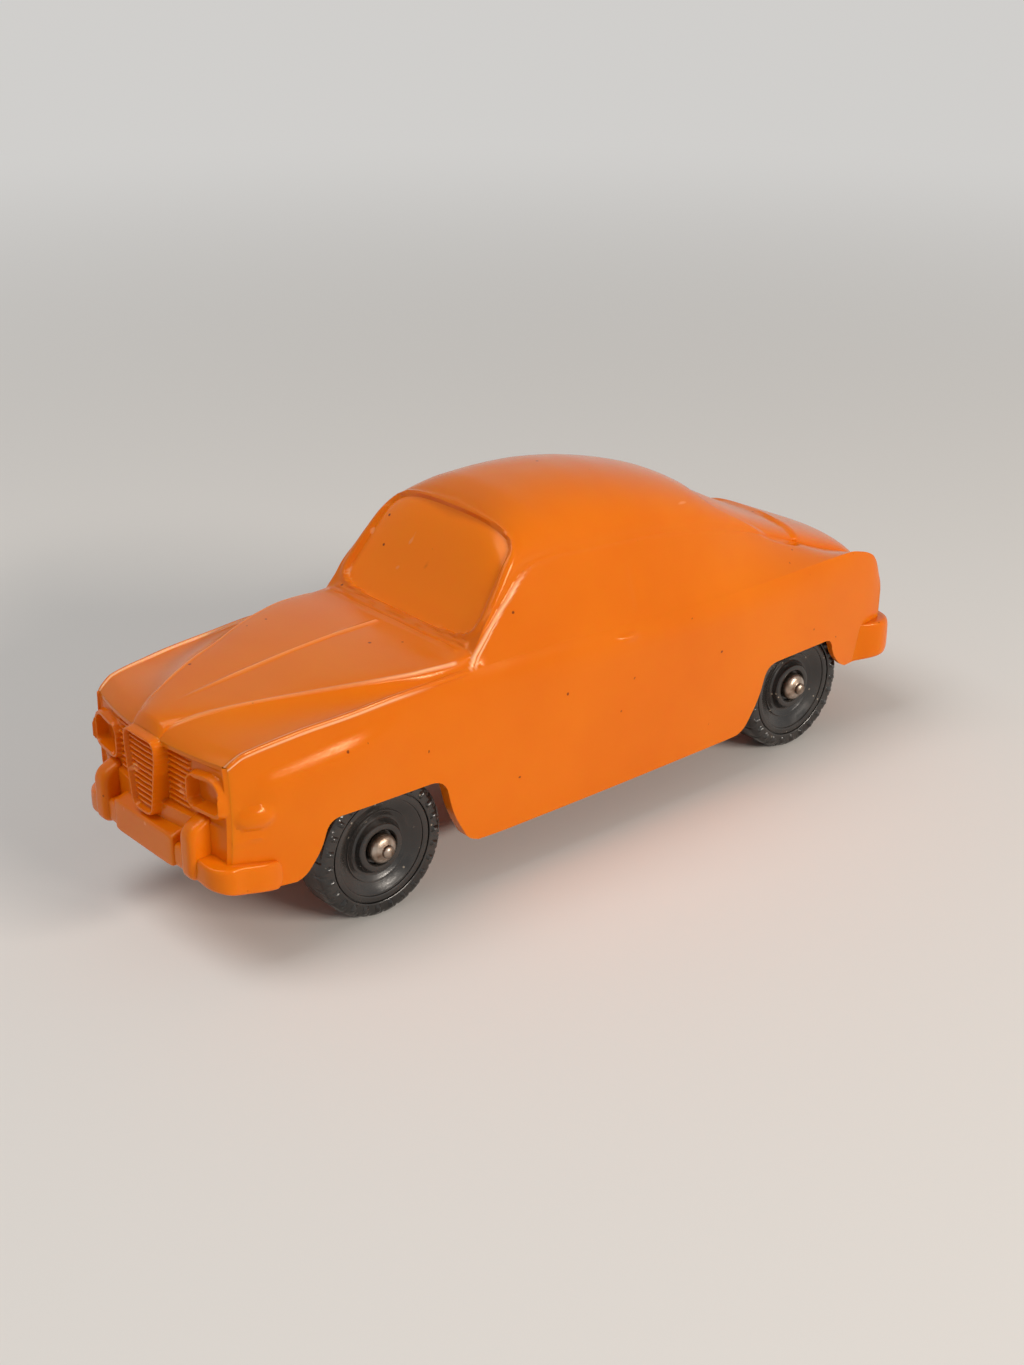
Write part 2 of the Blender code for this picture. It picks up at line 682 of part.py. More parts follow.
def bumperTools():
    plan = bumperPlan(-1, bumperWrap, bumperZ, bumperBow, bumperCorner)
    roots = bumperRoots(plan, -1, bumperZ)
    heights = (bumperHeight, flankHeight)
    bars = [bumperLoft(plan, roots, heights, bumperZ, bumperDrop, bumperProud, "front_bumper")]
    plan = bumperPlan(1, rearBumperWrap, rearBumperZ, rearBumperBow, rearBumperCorner)
    roots = bumperRoots(plan, 1, rearBumperZ)
    heights = (rearBumperHeight, rearBumperHeight)
    bars.append(bumperLoft(plan, roots, heights, rearBumperZ, 0.0, rearBumperProud, "rear_bumper"))
    front = -noseReach - blockProud
    base = bumperZ - bumperHeight / 2 - blockDrop
    hold = -noseReach + 0.6 * wallThickness
    outline = [(hold, base), (front, base), (front, base + blockHeight), (hold, base + blockHeight + blockRise)]
    bars.append(makeObject("centre_block", prism(outline, -blockHalfWidth, blockHalfWidth, "x")))
    bow = sweepAt(overriderX, -1.0)
    tip = front - overriderProud + bow
    root = hold + bow
    foot = base - overriderDrop
    head = foot + overriderHeight
    outline = roundedPolygon([(root, foot), (tip, foot), (tip, head - overriderSlope), (root, head)], overriderRound, 3)
    for side in (-1, 1):
        bm = prism(outline, side * overriderX - overriderWidth / 2, side * overriderX + overriderWidth / 2, "x")
        edges = [edge for edge in bm.edges if abs(edge.verts[0].co.x - edge.verts[1].co.x) < 1e-6]
        bmesh.ops.bevel(bm, geom=edges, offset=overriderBevel, segments=1, affect="EDGES")
        bars.append(makeObject("overrider", bm))
    return bars


def windowPatch(front, rear, frontHalf, rearHalf, name):
    # Closed tool that follows the screen: its floor lies below the surface, its lid above.
    # Rings run from the middle to a rounded outline with a wide front and a narrower rear.
    around, rings = 24, 3
    middle = (front + rear) / 2
    depth = (rear - front) / 2
    bm = bmesh.new()
    skins = []
    for lift in (-windowDepth, 2.5 * mm):
        centre = None
        loops = []
        for r in range(rings + 1):
            loop = []
            for k in range(around):
                angle = 2 * pi * k / around
                c, s = cos(angle), sin(angle)
                square = (abs(c)**windowRound + abs(s)**windowRound) ** (-1 / windowRound)
                v = s * square * r / rings
                half = frontHalf + (rearHalf - frontHalf) * (v + 1) / 2
                x = c * square * r / rings * half
                y = middle + v * depth
                loop.append(surfacePoint(x, y, lift))
                if r == 0:
                    break
            if r == 0:
                centre = bm.verts.new(loop[0])
            else:
                loops.append([bm.verts.new(point) for point in loop])
        for k in range(around):
            bm.faces.new((centre, loops[0][k], loops[0][(k + 1) % around]))
        for a, b in zip(loops, loops[1:]):
            for k in range(around):
                j = (k + 1) % around
                bm.faces.new((a[k], b[k], b[j], a[j]))
        skins.append(loops[-1])
    for k in range(around):
        j = (k + 1) % around
        bm.faces.new((skins[0][k], skins[0][j], skins[1][j], skins[1][k]))
    bmesh.ops.triangulate(bm, faces=bm.faces)
    bmesh.ops.recalc_face_normals(bm, faces=bm.faces)
    return makeObject(name, bm)


def surfacePoint(x, y, lift):
    # Point on the top of the car, moved off it along the slope of the centre line
    step = 0.5 * mm
    z = topHeight(x, placeOf(y))
    slope = (topHeight(x, placeOf(y + step)) - topHeight(x, placeOf(y - step))) / (2 * step)
    length = np.sqrt(1 + slope**2)
    return (x, y - slope / length * lift, z + lift / length)


def windowTools():
    baseHalf, topHalf, rearHalf = (width * halfWidth for width in (screenBaseWidth, screenTopWidth, rearWindowWidth))
    screen = windowPatch(-screenFront * noseReach, -screenRear * noseReach, baseHalf, topHalf, "screen_cut")
    rear = windowPatch(rearWindowFront * tailReach, rearWindowRear * tailReach, rearHalf, rearHalf, "rear_cut")
    return [screen, rear]


def ellipsoid(centre, radii, name):
    bm = bmesh.new()
    bmesh.ops.create_uvsphere(bm, u_segments=10, v_segments=6, radius=1.0)
    for vertex in bm.verts:
        vertex.co = [c + r * v for c, r, v in zip(centre, radii, vertex.co)]
    return makeObject(name, bm)


def sideTrimTools():
    # Round indicator beside each lamp and a raised handle on each door
    tools = []
    for side in (-1, 1):
        y = -0.925 * noseReach
        z = 0.43 * roofHeight
        x = sideAt(y, z) - 0.15 * mm
        radii = (indicatorProud + 0.15 * mm, indicatorLength / 2, indicatorHeight / 2)
        tools.append(ellipsoid((side * x, y, z), radii, "indicator"))
        y = 0.025 * tailReach
        crestX, crestZ = smoothRow(crestLine, 0.025)
        z = crestZ * roofHeight - 1.1 * mm
        x = (crestX + 1.0) / 2 * halfWidth - 0.1 * mm
        outline = [(y - handleLength / 2, z - handleHeight / 2), (y + handleLength / 2, z - handleHeight / 2),
                   (y + handleLength / 2, z + handleHeight / 2), (y - handleLength / 2, z + handleHeight / 2)]
        start, end = sorted((side * (x - 0.5 * mm), side * (x + handleProud)))
        tools.append(makeObject("handle", prism(outline, start, end, "x")))
    return tools


def turned(profile, sides, name, twist=None):
    # Turns a closed profile of (x, radius) points about the X axis
    bm = bmesh.new()
    rings = []
    for i in range(sides):
        angle = 2 * pi * (i + 0.5) / sides
        ring = []
        for k, (x, radius) in enumerate(profile):
            if radius == 0:
                ring.append(None)
                continue
            x += twist(k, i) if twist else 0.0
            ring.append(bm.verts.new((x, radius * cos(angle), radius * sin(angle))))
        rings.append(ring)
    poles = {k: bm.verts.new((x, 0, 0)) for k, (x, radius) in enumerate(profile) if radius == 0}
    count = len(profile)
    closed = not poles
    for i in range(sides):
        a, b = rings[i], rings[(i + 1) % sides]
        for k in range(count if closed else count - 1):
            j = (k + 1) % count
            corners = [a[k] or poles[k], b[k] or poles[k], b[j] or poles[j], a[j] or poles[j]]
            face = list(dict.fromkeys(corners))
            bm.faces.new(face)
    bmesh.ops.recalc_face_normals(bm, faces=bm.faces)
    return makeObject(name, bm)


def buildWheel(name, side, axleY, material):
    # Tyre, side wall, dished disc and hub ring turned in one piece, hub face at the local origin
    edge = wheelRadius / cos(pi / wheelSides)
    face = tyreFaceX
    floor = face - hubRecess
    profile = [(floor, boreRadius), (floor, hubRadius - 0.9 * mm), (face - 0.5 * mm, hubRadius - 0.7 * mm),
               (face - 0.5 * mm, hubRadius - 0.1 * mm), (floor - 0.1 * mm, hubRadius + 0.2 * mm),
               (face - 0.55 * mm, 0.70 * edge), (face - 0.2 * mm, 0.78 * edge), (face - 0.3 * mm, 0.80 * edge),
               (face, 0.82 * edge), (face, 0.94 * edge), (face - 0.4 * mm, edge),
               (wheelInnerX + 0.4 * mm, edge), (wheelInnerX, 0.94 * edge), (wheelInnerX, boreRadius)]
    shoulder = len(profile) - 4

    def notch(k, i):
        return -treadSlotDepth if k == shoulder and i % 2 else 0.0

    item = turned(profile, wheelSides, name, notch)
    if side < 0:
        for vertex in item.data.vertices:
            vertex.co.x *= -1
        item.data.flip_normals()
    item.data.materials.append(material)
    item.location = (0, axleY, axleHeight)
    smoothShade(item)
    return item


def buildPin(name, axleY, material):
    # Wire axle with a headed, nubbed end outside each wheel
    head = tyreFaceX - hubRecess + endGap
    dome = head + pinHeadLength
    half = [(dome + pinTipLength, 0.0), (dome + 0.7 * pinTipLength, 0.35 * pinHeadRadius),
            (dome, 0.45 * pinHeadRadius), (head + 0.75 * pinHeadLength, 0.85 * pinHeadRadius),
            (head + 0.35 * pinHeadLength, pinHeadRadius), (head, pinHeadRadius), (head, pinRadius)]
    profile = half + [(-x, radius) for x, radius in reversed(half)]
    item = turned(profile, boreSides, name)
    item.data.materials.append(material)
    item.location = (0, axleY, axleHeight)
    smoothShade(item)
    return item


def centreLengthwise():
    # Moves every piece so that the origin lies under the middle of the overall length
    frontEnd = noseReach + blockProud + overriderProud - sweepAt(overriderX, -1.0)
    rearEnd = tailReach + rearBumperProud
    for item in bpy.data.objects:
        item.location.y += (frontEnd - rearEnd) / 2


def main():
    clearScene()
    vinyl = makeMaterial("orange vinyl", (0.86, 0.18, 0.02), 0.4, 0.0)
    black = makeMaterial("black moulded plastic", (0.02, 0.02, 0.022), 0.35, 0.0)
    steel = makeMaterial("aged steel", (0.45, 0.38, 0.32), 0.35, 1.0)
    shell = buildShell()
    applyBoolean(shell, windowTools() + archTools() + wheelWellTools() + panelTools(), "DIFFERENCE")
    applyBoolean(shell, webTools() + bumperTools() + frameTools() + sideTrimTools(), "UNION")
    applyBoolean(shell, boreTools() + openingTools(), "DIFFERENCE")
    applyBoolean(shell, slatTools(), "UNION")
    shell.data.materials.clear()
    shell.data.materials.append(vinyl)
    smoothShade(shell)
    for end, axleY in (("front", frontAxleY), ("rear", rearAxleY)):
        buildPin(end + "_axle", axleY, steel)
        buildWheel(end + "_left_wheel", 1, axleY, black)
        buildWheel(end + "_right_wheel", -1, axleY, black)
    centreLengthwise()
    bpy.context.view_layer.update()


if __name__ == "__main__":
    main()
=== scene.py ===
# Soft plastic toy car: hollow orange body, black wheels, steel pins, and the studio round them
import bmesh
import bpy
import numpy as np
from mathutils import Matrix, Vector


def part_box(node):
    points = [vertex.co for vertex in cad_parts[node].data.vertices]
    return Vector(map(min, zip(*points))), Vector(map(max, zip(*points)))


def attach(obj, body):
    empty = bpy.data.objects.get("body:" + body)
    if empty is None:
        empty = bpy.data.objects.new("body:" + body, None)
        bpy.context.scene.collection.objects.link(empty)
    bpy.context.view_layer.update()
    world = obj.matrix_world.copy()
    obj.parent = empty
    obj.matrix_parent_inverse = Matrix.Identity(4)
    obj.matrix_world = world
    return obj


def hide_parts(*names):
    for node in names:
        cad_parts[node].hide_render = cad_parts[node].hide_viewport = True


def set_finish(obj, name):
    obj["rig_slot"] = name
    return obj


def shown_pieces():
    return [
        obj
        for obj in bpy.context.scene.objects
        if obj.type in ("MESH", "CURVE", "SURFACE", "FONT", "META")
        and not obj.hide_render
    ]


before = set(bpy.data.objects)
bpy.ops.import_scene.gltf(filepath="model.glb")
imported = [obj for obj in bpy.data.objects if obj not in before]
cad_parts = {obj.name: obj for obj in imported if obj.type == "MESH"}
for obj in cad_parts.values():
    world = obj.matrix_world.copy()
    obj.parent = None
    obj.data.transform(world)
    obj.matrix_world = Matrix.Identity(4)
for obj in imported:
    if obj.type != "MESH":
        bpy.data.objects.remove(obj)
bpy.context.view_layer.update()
print("stage: frame loaded")

mm = 0.001


def middleOf(node):
    # Middle of a CAD node, in millimetres
    low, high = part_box(node)
    return (np.array(low) + np.array(high)) / 2 / mm


frontAxle = middleOf("front_axle")
rearAxle = middleOf("rear_axle")
wheelbase = rearAxle[1] - frontAxle[1]
midY = (rearAxle[1] + frontAxle[1]) / 2
axleHeight = frontAxle[2]

# Sizes in millimetres. A body line holds the place along the car as a share of the reach to nose
# or tail, then shares of the half width and the roof height.
body = {
    "noseReach": wheelbase / 2 + 18.3, "tailReach": wheelbase / 2 + 15,
    "halfWidth": 13.4, "roofHeight": 36.89, "sillHeight": 5.1, "wall": 1.3,
    # how far the corners of nose and tail are swept, at which share of the width, and from where
    "cornerSweep": 1.6, "sweepHalf": 0.81, "sweepFrom": 0.72, "flankTuck": 0.45,
    "centreLine": [
        (-1, 0.584), (-0.985, 0.613), (-0.94, 0.628), (-0.87, 0.64), (-0.75, 0.656), (-0.63, 0.67),
        (-0.52, 0.677), (-0.42, 0.678), (-0.385, 0.679), (-0.345, 0.732), (-0.239, 0.936), (-0.2, 0.971),
        (-0.15, 0.992), (-0.05, 1), (0, 0.9985), (0.09, 0.986), (0.186, 0.962), (0.33, 0.908),
        (0.464, 0.827), (0.609, 0.74), (0.761, 0.661), (0.864, 0.607), (0.923, 0.575), (0.955, 0.552),
        (0.984, 0.526), (1, 0.495)],
    "crownLine": [
        (-1, 0.172, 0.574), (-0.985, 0.18, 0.594), (-0.93, 0.255, 0.622), (-0.865, 0.366, 0.638),
        (-0.8, 0.47, 0.646), (-0.73, 0.567, 0.65), (-0.66, 0.68, 0.656), (-0.59, 0.776, 0.66),
        (-0.51, 0.85, 0.661), (-0.425, 0.868, 0.657), (-0.388, 0.866, 0.659), (-0.368, 0.859, 0.692),
        (-0.345, 0.848, 0.735), (-0.3, 0.816, 0.793), (-0.25, 0.784, 0.842), (-0.215, 0.762, 0.855),
        (-0.16, 0.745, 0.853), (-0.105, 0.737, 0.847), (0, 0.731, 0.835), (0.125, 0.724, 0.823),
        (0.33, 0.687, 0.783), (0.489, 0.642, 0.726), (0.65, 0.604, 0.656), (0.8, 0.582, 0.585),
        (0.945, 0.567, 0.523), (1, 0.555, 0.478)],
    "crestLine": [
        (-1, 0.817, 0.572), (-0.96, 0.843, 0.598), (-0.87, 0.866, 0.611), (-0.8, 0.882, 0.618),
        (-0.7, 0.903, 0.623), (-0.57, 0.918, 0.632), (-0.43, 0.922, 0.633), (-0.36, 0.922, 0.632),
        (-0.17, 0.927, 0.627), (0.045, 0.933, 0.612), (0.27, 0.933, 0.602), (0.5, 0.918, 0.594),
        (0.7, 0.903, 0.594), (0.84, 0.893, 0.592), (0.9, 0.888, 0.579), (0.95, 0.882, 0.557),
        (0.975, 0.875, 0.529), (1, 0.86, 0.47)],
    "shoulderLine": [
        (-1, 0.832, 0.47), (-0.9, 0.89, 0.475), (-0.77, 0.94, 0.48), (-0.617, 0.97, 0.5),
        (-0.38, 0.988, 0.535), (0, 1, 0.54), (0.34, 0.993, 0.53), (0.65, 0.967, 0.515),
        (0.85, 0.937, 0.495), (0.95, 0.915, 0.465), (1, 0.89, 0.43)],
    "lowerLine": [
        (-1, 1.8), (-0.95, 1.64), (-0.9, 1.53), (-0.8, 1.5), (-0.6, 1.45), (-0.4, 1.03), (-0.3, 1),
        (0.35, 1), (0.46, 1.02), (0.66, 1.55), (0.86, 1.58), (1, 1.6)],
    "crownPower": [
        (-1, 2), (-0.45, 2.2), (-0.36, 5), (-0.29, 4.2), (-0.22, 2.9), (-0.15, 2.4), (0.3, 2.1),
        (0.6, 2.6), (1, 2.2)],
    # corner of the curve below the crown: shares of the way to the crest, across and down
    "flankSag": [
        (-1, 0.5, 0.7), (-0.8, 0.45, 1.25), (-0.5, 0.45, 1.15), (-0.39, 0.55, 0.8),
        (-0.34, 0.55, 0.58), (-0.25, 0.62, 0.62), (-0.12, 0.78, 0.86), (0.3, 0.76, 0.86),
        (0.6, 0.62, 0.72), (0.8, 0.5, 0.2), (1, 0.5, 0.3)],
    # the same for the shoulder's curve, from crest to side
    "shoulderCorner": (0.85, 0.38),
    # cross-sections, and points on crown, roof side, shoulder and flank
    "along": 275, "around": (54, 34, 20, 24), "innerSkip": 4,
    # closed ends behind the panels: depths of outer and inner skin, and how narrow
    "endDepths": (1.4, 0.45), "endShare": 0.96, "endDish": 0.1,
}

# Fine relief in millimetres. A fade is a pair: where it lies and how long it is
relief = {
    "ridge": {"height": 0.2, "width": 0.3, "rear": (-20.6, 0.6), "front": (-40.5, 8)},
    "crease": {"height": 0.1, "width": 0.32, "rear": (-20.5, 1), "front": (-45.5, 2)},
    "crest": {"height": 0.15, "width": 0.3, "rear": (-20, 3), "front": (-45.6, 0.6)},
    # place, height and width of each line
    "cowl": {"lines": [(-18.35, 0.16, 0.3), (-19.5, 0.14, 0.35)], "bow": 0.35, "half": 9,
        "ends": (10.4, 0.8)},
    "screen": {"front": -17.75, "rear": -11.1, "frontHalf": 10.5, "rearHalf": 9.35, "depth": 0.32,
        "edge": 0.16},
    "rearWindow": {"front": 17.4, "rear": 31.4, "frontHalf": 7, "rearHalf": 9.2, "depth": 0.36,
        "edge": 0.3},
    "pane": {"round": 8, "bow": 0.35, "reach": 4.5, "rimHeight": 0.16, "rimWidth": 0.75,
        "rimRear": (0, 30), "foot": (19, 0.6)},
    "pillar": {"height": 0.22, "width": 0.6, "foot": (23.6, 0.6), "head": (31.2, 0.8),
        "inner": (9.9, 0.4), "z": [23, 24.3, 26.3, 28.1, 28.8, 29.8, 30.8, 31.3],
        "y": [-18.9, -17.95, -16.15, -14.2, -13.2, -12.1, -10.6, -8.9]},
    "rail": {"height": 0.08, "width": 0.45, "inner": (7.8, 0.6), "front": (-9, 2), "rear": (22, 6),
        "y": [-9.5, -5.5, 0, 5.5, 14.5, 21.5, 27], "z": [31.2, 31.3, 30.8, 30.4, 28.9, 26.8, 24.6]},
    "handle": {"y": 1.1, "z": 21.5, "length": 1.8, "width": 0.56, "height": 0.32, "inner": (12, 1)},
    "indicator": {"y": -43.5, "z": 15.7, "length": 1.8, "width": 1.15, "height": 0.6},
    "sideRidge": {"y": -44, "z": 13.6, "length": 2.4, "width": 0.35, "height": 0.2},
    "door": {"y": 3.5, "width": 0.3, "depth": 0.12, "foot": (23.5, 1), "head": (28.4, 1)},
    # swell of each front fender: z is the height of its upper edge at one place, and it climbs
    "swell": {"z": 19.55, "at": -40, "climb": 0.13, "height": 0.52, "rise": 2.1, "fall": (4.8, 8),
        "front": (-43.2, 4), "rear": (-30, 9), "inner": (10, 1)},
    "flankOnly": (9, 1),
}

# Painted light: painted highlights along raised lines, and the windscreen painted brighter
paintedLight = {
    "crest": {"off": 0.3, "width": 0.16, "rear": (-26, 6), "front": (-46.4, 0.6)},
    "crease": {"width": 0.3, "rear": (-20.2, 0.6), "front": (-46, 1), "least": 0.35, "gain": 0.55,
        "bright": (-27, 10)},
    "ridge": {"width": 0.3, "share": 0.35, "foot": (19, 1)},
    "pillar": {"offs": (0.22, -0.35), "width": 0.28, "headOff": 0.05, "headWidth": 0.55,
        "join": (27.6, 1.6), "foot": (23.4, 0.6), "head": (30.4, 1.6)},
    "screenEdge": (0.4, 1.2),
}


def bodyLine(name, place):
    # Reads a body line at places: cubic pieces that never overshoot the rows
    table = np.array(body[name], float)
    x = table[:, 0]
    k = np.clip(np.searchsorted(x, place) - 1, 0, len(x) - 2)
    h = np.diff(x)
    t = (np.clip(place, x[0], x[-1]) - x[k]) / h[k]
    out = []
    for y in table.T[1:]:
        rise = np.diff(y) / h
        same = rise[:-1] * rise[1:] > 0
        inner = np.where(same, 2 * rise[:-1] * rise[1:] / np.where(same, rise[:-1] + rise[1:], 1), 0)
        slope = np.concatenate([[rise[0]], inner, [rise[-1]]])
        out.append((2 * t**3 - 3 * t**2 + 1) * y[k] + (t**3 - 2 * t**2 + t) * h[k] * slope[k]
                   + (3 * t**2 - 2 * t**3) * y[k + 1] + (t**3 - t**2) * h[k] * slope[k + 1])
    return out


def step(x, edge, width):
    # Smooth rise from 0 to 1, centred on the edge
    t = np.clip((x - edge) / width + 0.5, 0, 1)
    return t * t * (3 - 2 * t)


def above(x, fade):
    # 1 past the middle of a fade
    return step(x, fade[0], fade[1])


def below(x, fade):
    # 1 short of the middle of a fade
    return step(-x, -fade[0], fade[1])


def along(y, size):
    # 1 between a feature's front and rear fades
    return below(y, size["rear"]) * above(y, size["front"])


def upright(z, size):
    # 1 between a feature's foot and head fades
    return above(z, size["foot"]) * below(z, size["head"])


def bump(x, width):
    # Round bead: 1 in the middle, 0 a width away
    t = np.clip(np.abs(x) / width, 0, 1)
    return (1 - t * t) ** 2


def blend(first, second, share):
    return first + (second - first) * share


def shareFrom(share, start):
    # 0 up to a start, then rising to 1 at the end
    return np.clip((share - start) / (1 - start), 0, 1)


def curve(start, corner, end, t):
    # Curve that leaves its start toward a corner and comes to its end from there
    return (1 - t)**2 * start + 2 * t * (1 - t) * corner + t**2 * end


def reachOf(way):
    # Distance from the middle to the nose, for ways below 0, or to the tail
    return np.where(way < 0, body["noseReach"], body["tailReach"])


def placeOf(y):
    return y / reachOf(y)


def bowAt(x, place):
    # The corners of nose and tail lie nearer to the middle of the car
    share = (x / (body["sweepHalf"] * body["halfWidth"])) ** 2 * body["cornerSweep"]
    start = body["sweepFrom"]
    return -np.sign(place) * share * np.clip((np.abs(place) - start) / (1 - start), 0, None)


def topHeight(x, place):
    # Height of bonnet, screen, roof or boot: a crown of varying roundness
    centre, = bodyLine("centreLine", place)
    crownX, crownZ = bodyLine("crownLine", place)
    power, = bodyLine("crownPower", place)
    t = np.clip(np.abs(x) / (crownX * body["halfWidth"]), 0, 1)
    return (crownZ + (centre - crownZ) * np.sqrt(np.clip(1 - t**power, 0, None))) * body["roofHeight"]


def pointsOf(name, place):
    # A body line as points, in millimetres
    return np.stack(bodyLine(name, place), -1) * np.array([body["halfWidth"], body["roofHeight"]])


def halfSections(place):
    # Half cross-sections from the middle of the top down: elliptic crown, curve to the crest,
    # round shoulder, and a flank that tucks in below
    place = place[:, None]
    crown, crest, side = (pointsOf(name, place) for name in ("crownLine", "crestLine", "shoulderLine"))
    low, = bodyLine("lowerLine", place)
    n = body["around"]
    x = crown[..., 0] * np.sin(np.arange(n[0]) / n[0] * np.pi / 2)
    parts = [np.stack([x, topHeight(x, place)], -1)]
    t = (1 - np.cos(np.pi * np.arange(n[1])[:, None] / n[1])) / 2
    parts.append(curve(crown, blend(crown, crest, np.stack(bodyLine("flankSag", place), -1)), crest, t))
    t = 1 - np.cos(np.pi / 2 * np.arange(n[2])[:, None] / n[2])
    parts.append(curve(crest, blend(crest, side, np.array(body["shoulderCorner"])), side, t))
    t = np.arange(n[3] + 1) / n[3]
    z = blend(side[..., 1], low * body["sillHeight"], t)
    parts.append(np.stack([side[..., 0] - body["flankTuck"] * t**2, z], -1))
    return np.moveaxis(np.concatenate(parts, 1), -1, 0)


def flankBump(y, z, size):
    # Long round bump on the flank
    return bump(y - size["y"], size["length"]) * bump(z - size["z"], size["width"])


def flatBead(x, width):
    # Flat-topped bead, so that each of its edges catches the light
    return step(-np.abs(x), -width, 0.5 * width)


def paneDistance(x, y, pane):
    # Millimetres inside a round-cornered window outline, below 0 outside
    y = y - relief["pane"]["bow"] * (x / pane["frontHalf"])**2
    v = (y - (pane["front"] + pane["rear"]) / 2) / ((pane["rear"] - pane["front"]) / 2)
    half = pane["frontHalf"] + (pane["rearHalf"] - pane["frontHalf"]) * (np.clip(v, -1, 1) + 1) / 2
    power = relief["pane"]["round"]
    radius = (np.abs(x / half)**power + np.abs(v)**power) ** (1 / power)
    span = half * np.abs(x / half) + relief["pane"]["reach"] * np.abs(v)
    return (1 - radius) * span / np.maximum(radius, 0.3)


def distancesTo(x, z, place):
    # Distances of points from the crest line and the crown line
    here = np.stack([np.abs(x), z], -1)
    return [np.linalg.norm(here - pointsOf(name, place), axis=-1) for name in ("crestLine", "crownLine")]


def skinRelief(x, y, z, place):
    # Height of the fine moulding above the plain body
    side = np.abs(x)
    fromCrest, fromCrown = distancesTo(x, z, place)
    r = relief["ridge"]
    h = r["height"] * bump(x, r["width"]) * along(y, r)
    r = relief["crease"]
    h += r["height"] * bump(fromCrown, r["width"]) * along(y, r)
    r = relief["crest"]
    h += r["height"] * flatBead(fromCrest, r["width"]) * along(y, r)
    r = relief["cowl"]
    for cowlY, height, width in r["lines"]:
        bowed = cowlY + r["bow"] * (x / r["half"])**2
        h += height * bump(y - bowed, width) * below(side, r["ends"])
    r = relief["pane"]
    for pane in (relief["screen"], relief["rearWindow"]):
        inside = paneDistance(x, y, pane)
        high = above(z, r["foot"])
        h -= pane["depth"] * step(inside, 0, 2 * pane["edge"]) * high
        rim = bump(inside + 0.65 * r["rimWidth"], r["rimWidth"])
        h += r["rimHeight"] * rim * high * below(y, r["rimRear"])
    r = relief["pillar"]
    pillar = bump(y - np.interp(z, r["z"], r["y"]), r["width"])
    h += r["height"] * pillar * upright(z, r) * above(side, r["inner"])
    r = relief["rail"]
    rail = bump(z - np.interp(y, r["y"], r["z"]), r["width"])
    h += r["height"] * rail * along(y, r) * above(side, r["inner"])
    r = relief["handle"]
    h += r["height"] * flankBump(y, z, r) * above(side, r["inner"])
    r = relief["indicator"]
    dome = np.clip(1 - ((y - r["y"]) / r["length"])**2 - ((z - r["z"]) / r["width"])**2, 0, None)
    flank = above(side, relief["flankOnly"])
    h += r["height"] * np.sqrt(dome) * flank
    r = relief["sideRidge"]
    h += r["height"] * flankBump(y, z, r) * flank
    r = relief["door"]
    h -= r["depth"] * bump(y - r["y"], r["width"]) * upright(z, r) * flank
    r = relief["swell"]
    edge = r["z"] + r["climb"] * (y - r["at"])
    swell = below(z, (edge, r["rise"])) * step(z, edge - r["fall"][0], r["fall"][1])
    return h + r["height"] * swell * along(y, r) * above(side, r["inner"])


def paintedHighlight(x, y, z, place):
    # How much painted highlight each point gets along raised lines: the pillar shows a pair of thin painted
    # highlight lines
    side = np.abs(x)
    fromCrest, fromCrown = distancesTo(x, z, place)
    r = paintedLight["crest"]
    shine = bump(fromCrest - r["off"], r["width"]) * along(y, r)
    r = paintedLight["crease"]
    strength = r["least"] + r["gain"] * above(y, r["bright"])
    shine += bump(fromCrown, r["width"]) * along(y, r) * strength
    r = paintedLight["ridge"]
    shine += r["share"] * bump(x, r["width"]) * along(y, relief["ridge"]) * above(z, r["foot"])
    r = paintedLight["pillar"]
    off = y - np.interp(z, relief["pillar"]["z"], relief["pillar"]["y"])
    pair = sum(bump(off + shift, r["width"]) for shift in r["offs"])
    pair = blend(pair, bump(off + r["headOff"], r["headWidth"]), above(z, r["join"]))
    shine += pair * upright(z, r) * above(side, relief["pillar"]["inner"])
    return np.clip(shine, 0, 1)


def screenShare(x, y, z):
    # 1 in the windscreen, which the material paints brighter as painted light
    inside = paneDistance(x, y, relief["screen"])
    return above(inside, paintedLight["screenEdge"]) * above(z, relief["pane"]["foot"])


def lengthsAlong(points):
    # Distance of each point of a line from its start
    return np.concatenate([[0], np.cumsum(np.linalg.norm(np.diff(points, axis=0), axis=1))])


def pointsAt(points, wanted):
    # Points at wanted distances along a line
    return np.stack([np.interp(wanted, lengthsAlong(points), column) for column in points.T], 1)


def newObject(name, data):
    item = bpy.data.objects.new(name, data)
    bpy.context.collection.objects.link(item)
    return item


def gridNormals(grid):
    # Outward unit normals of a grid from its two tangents
    normal = np.cross(np.gradient(grid, axis=1), np.gradient(grid, axis=0))
    return normal / np.maximum(np.linalg.norm(normal, axis=2, keepdims=True), 1e-12)


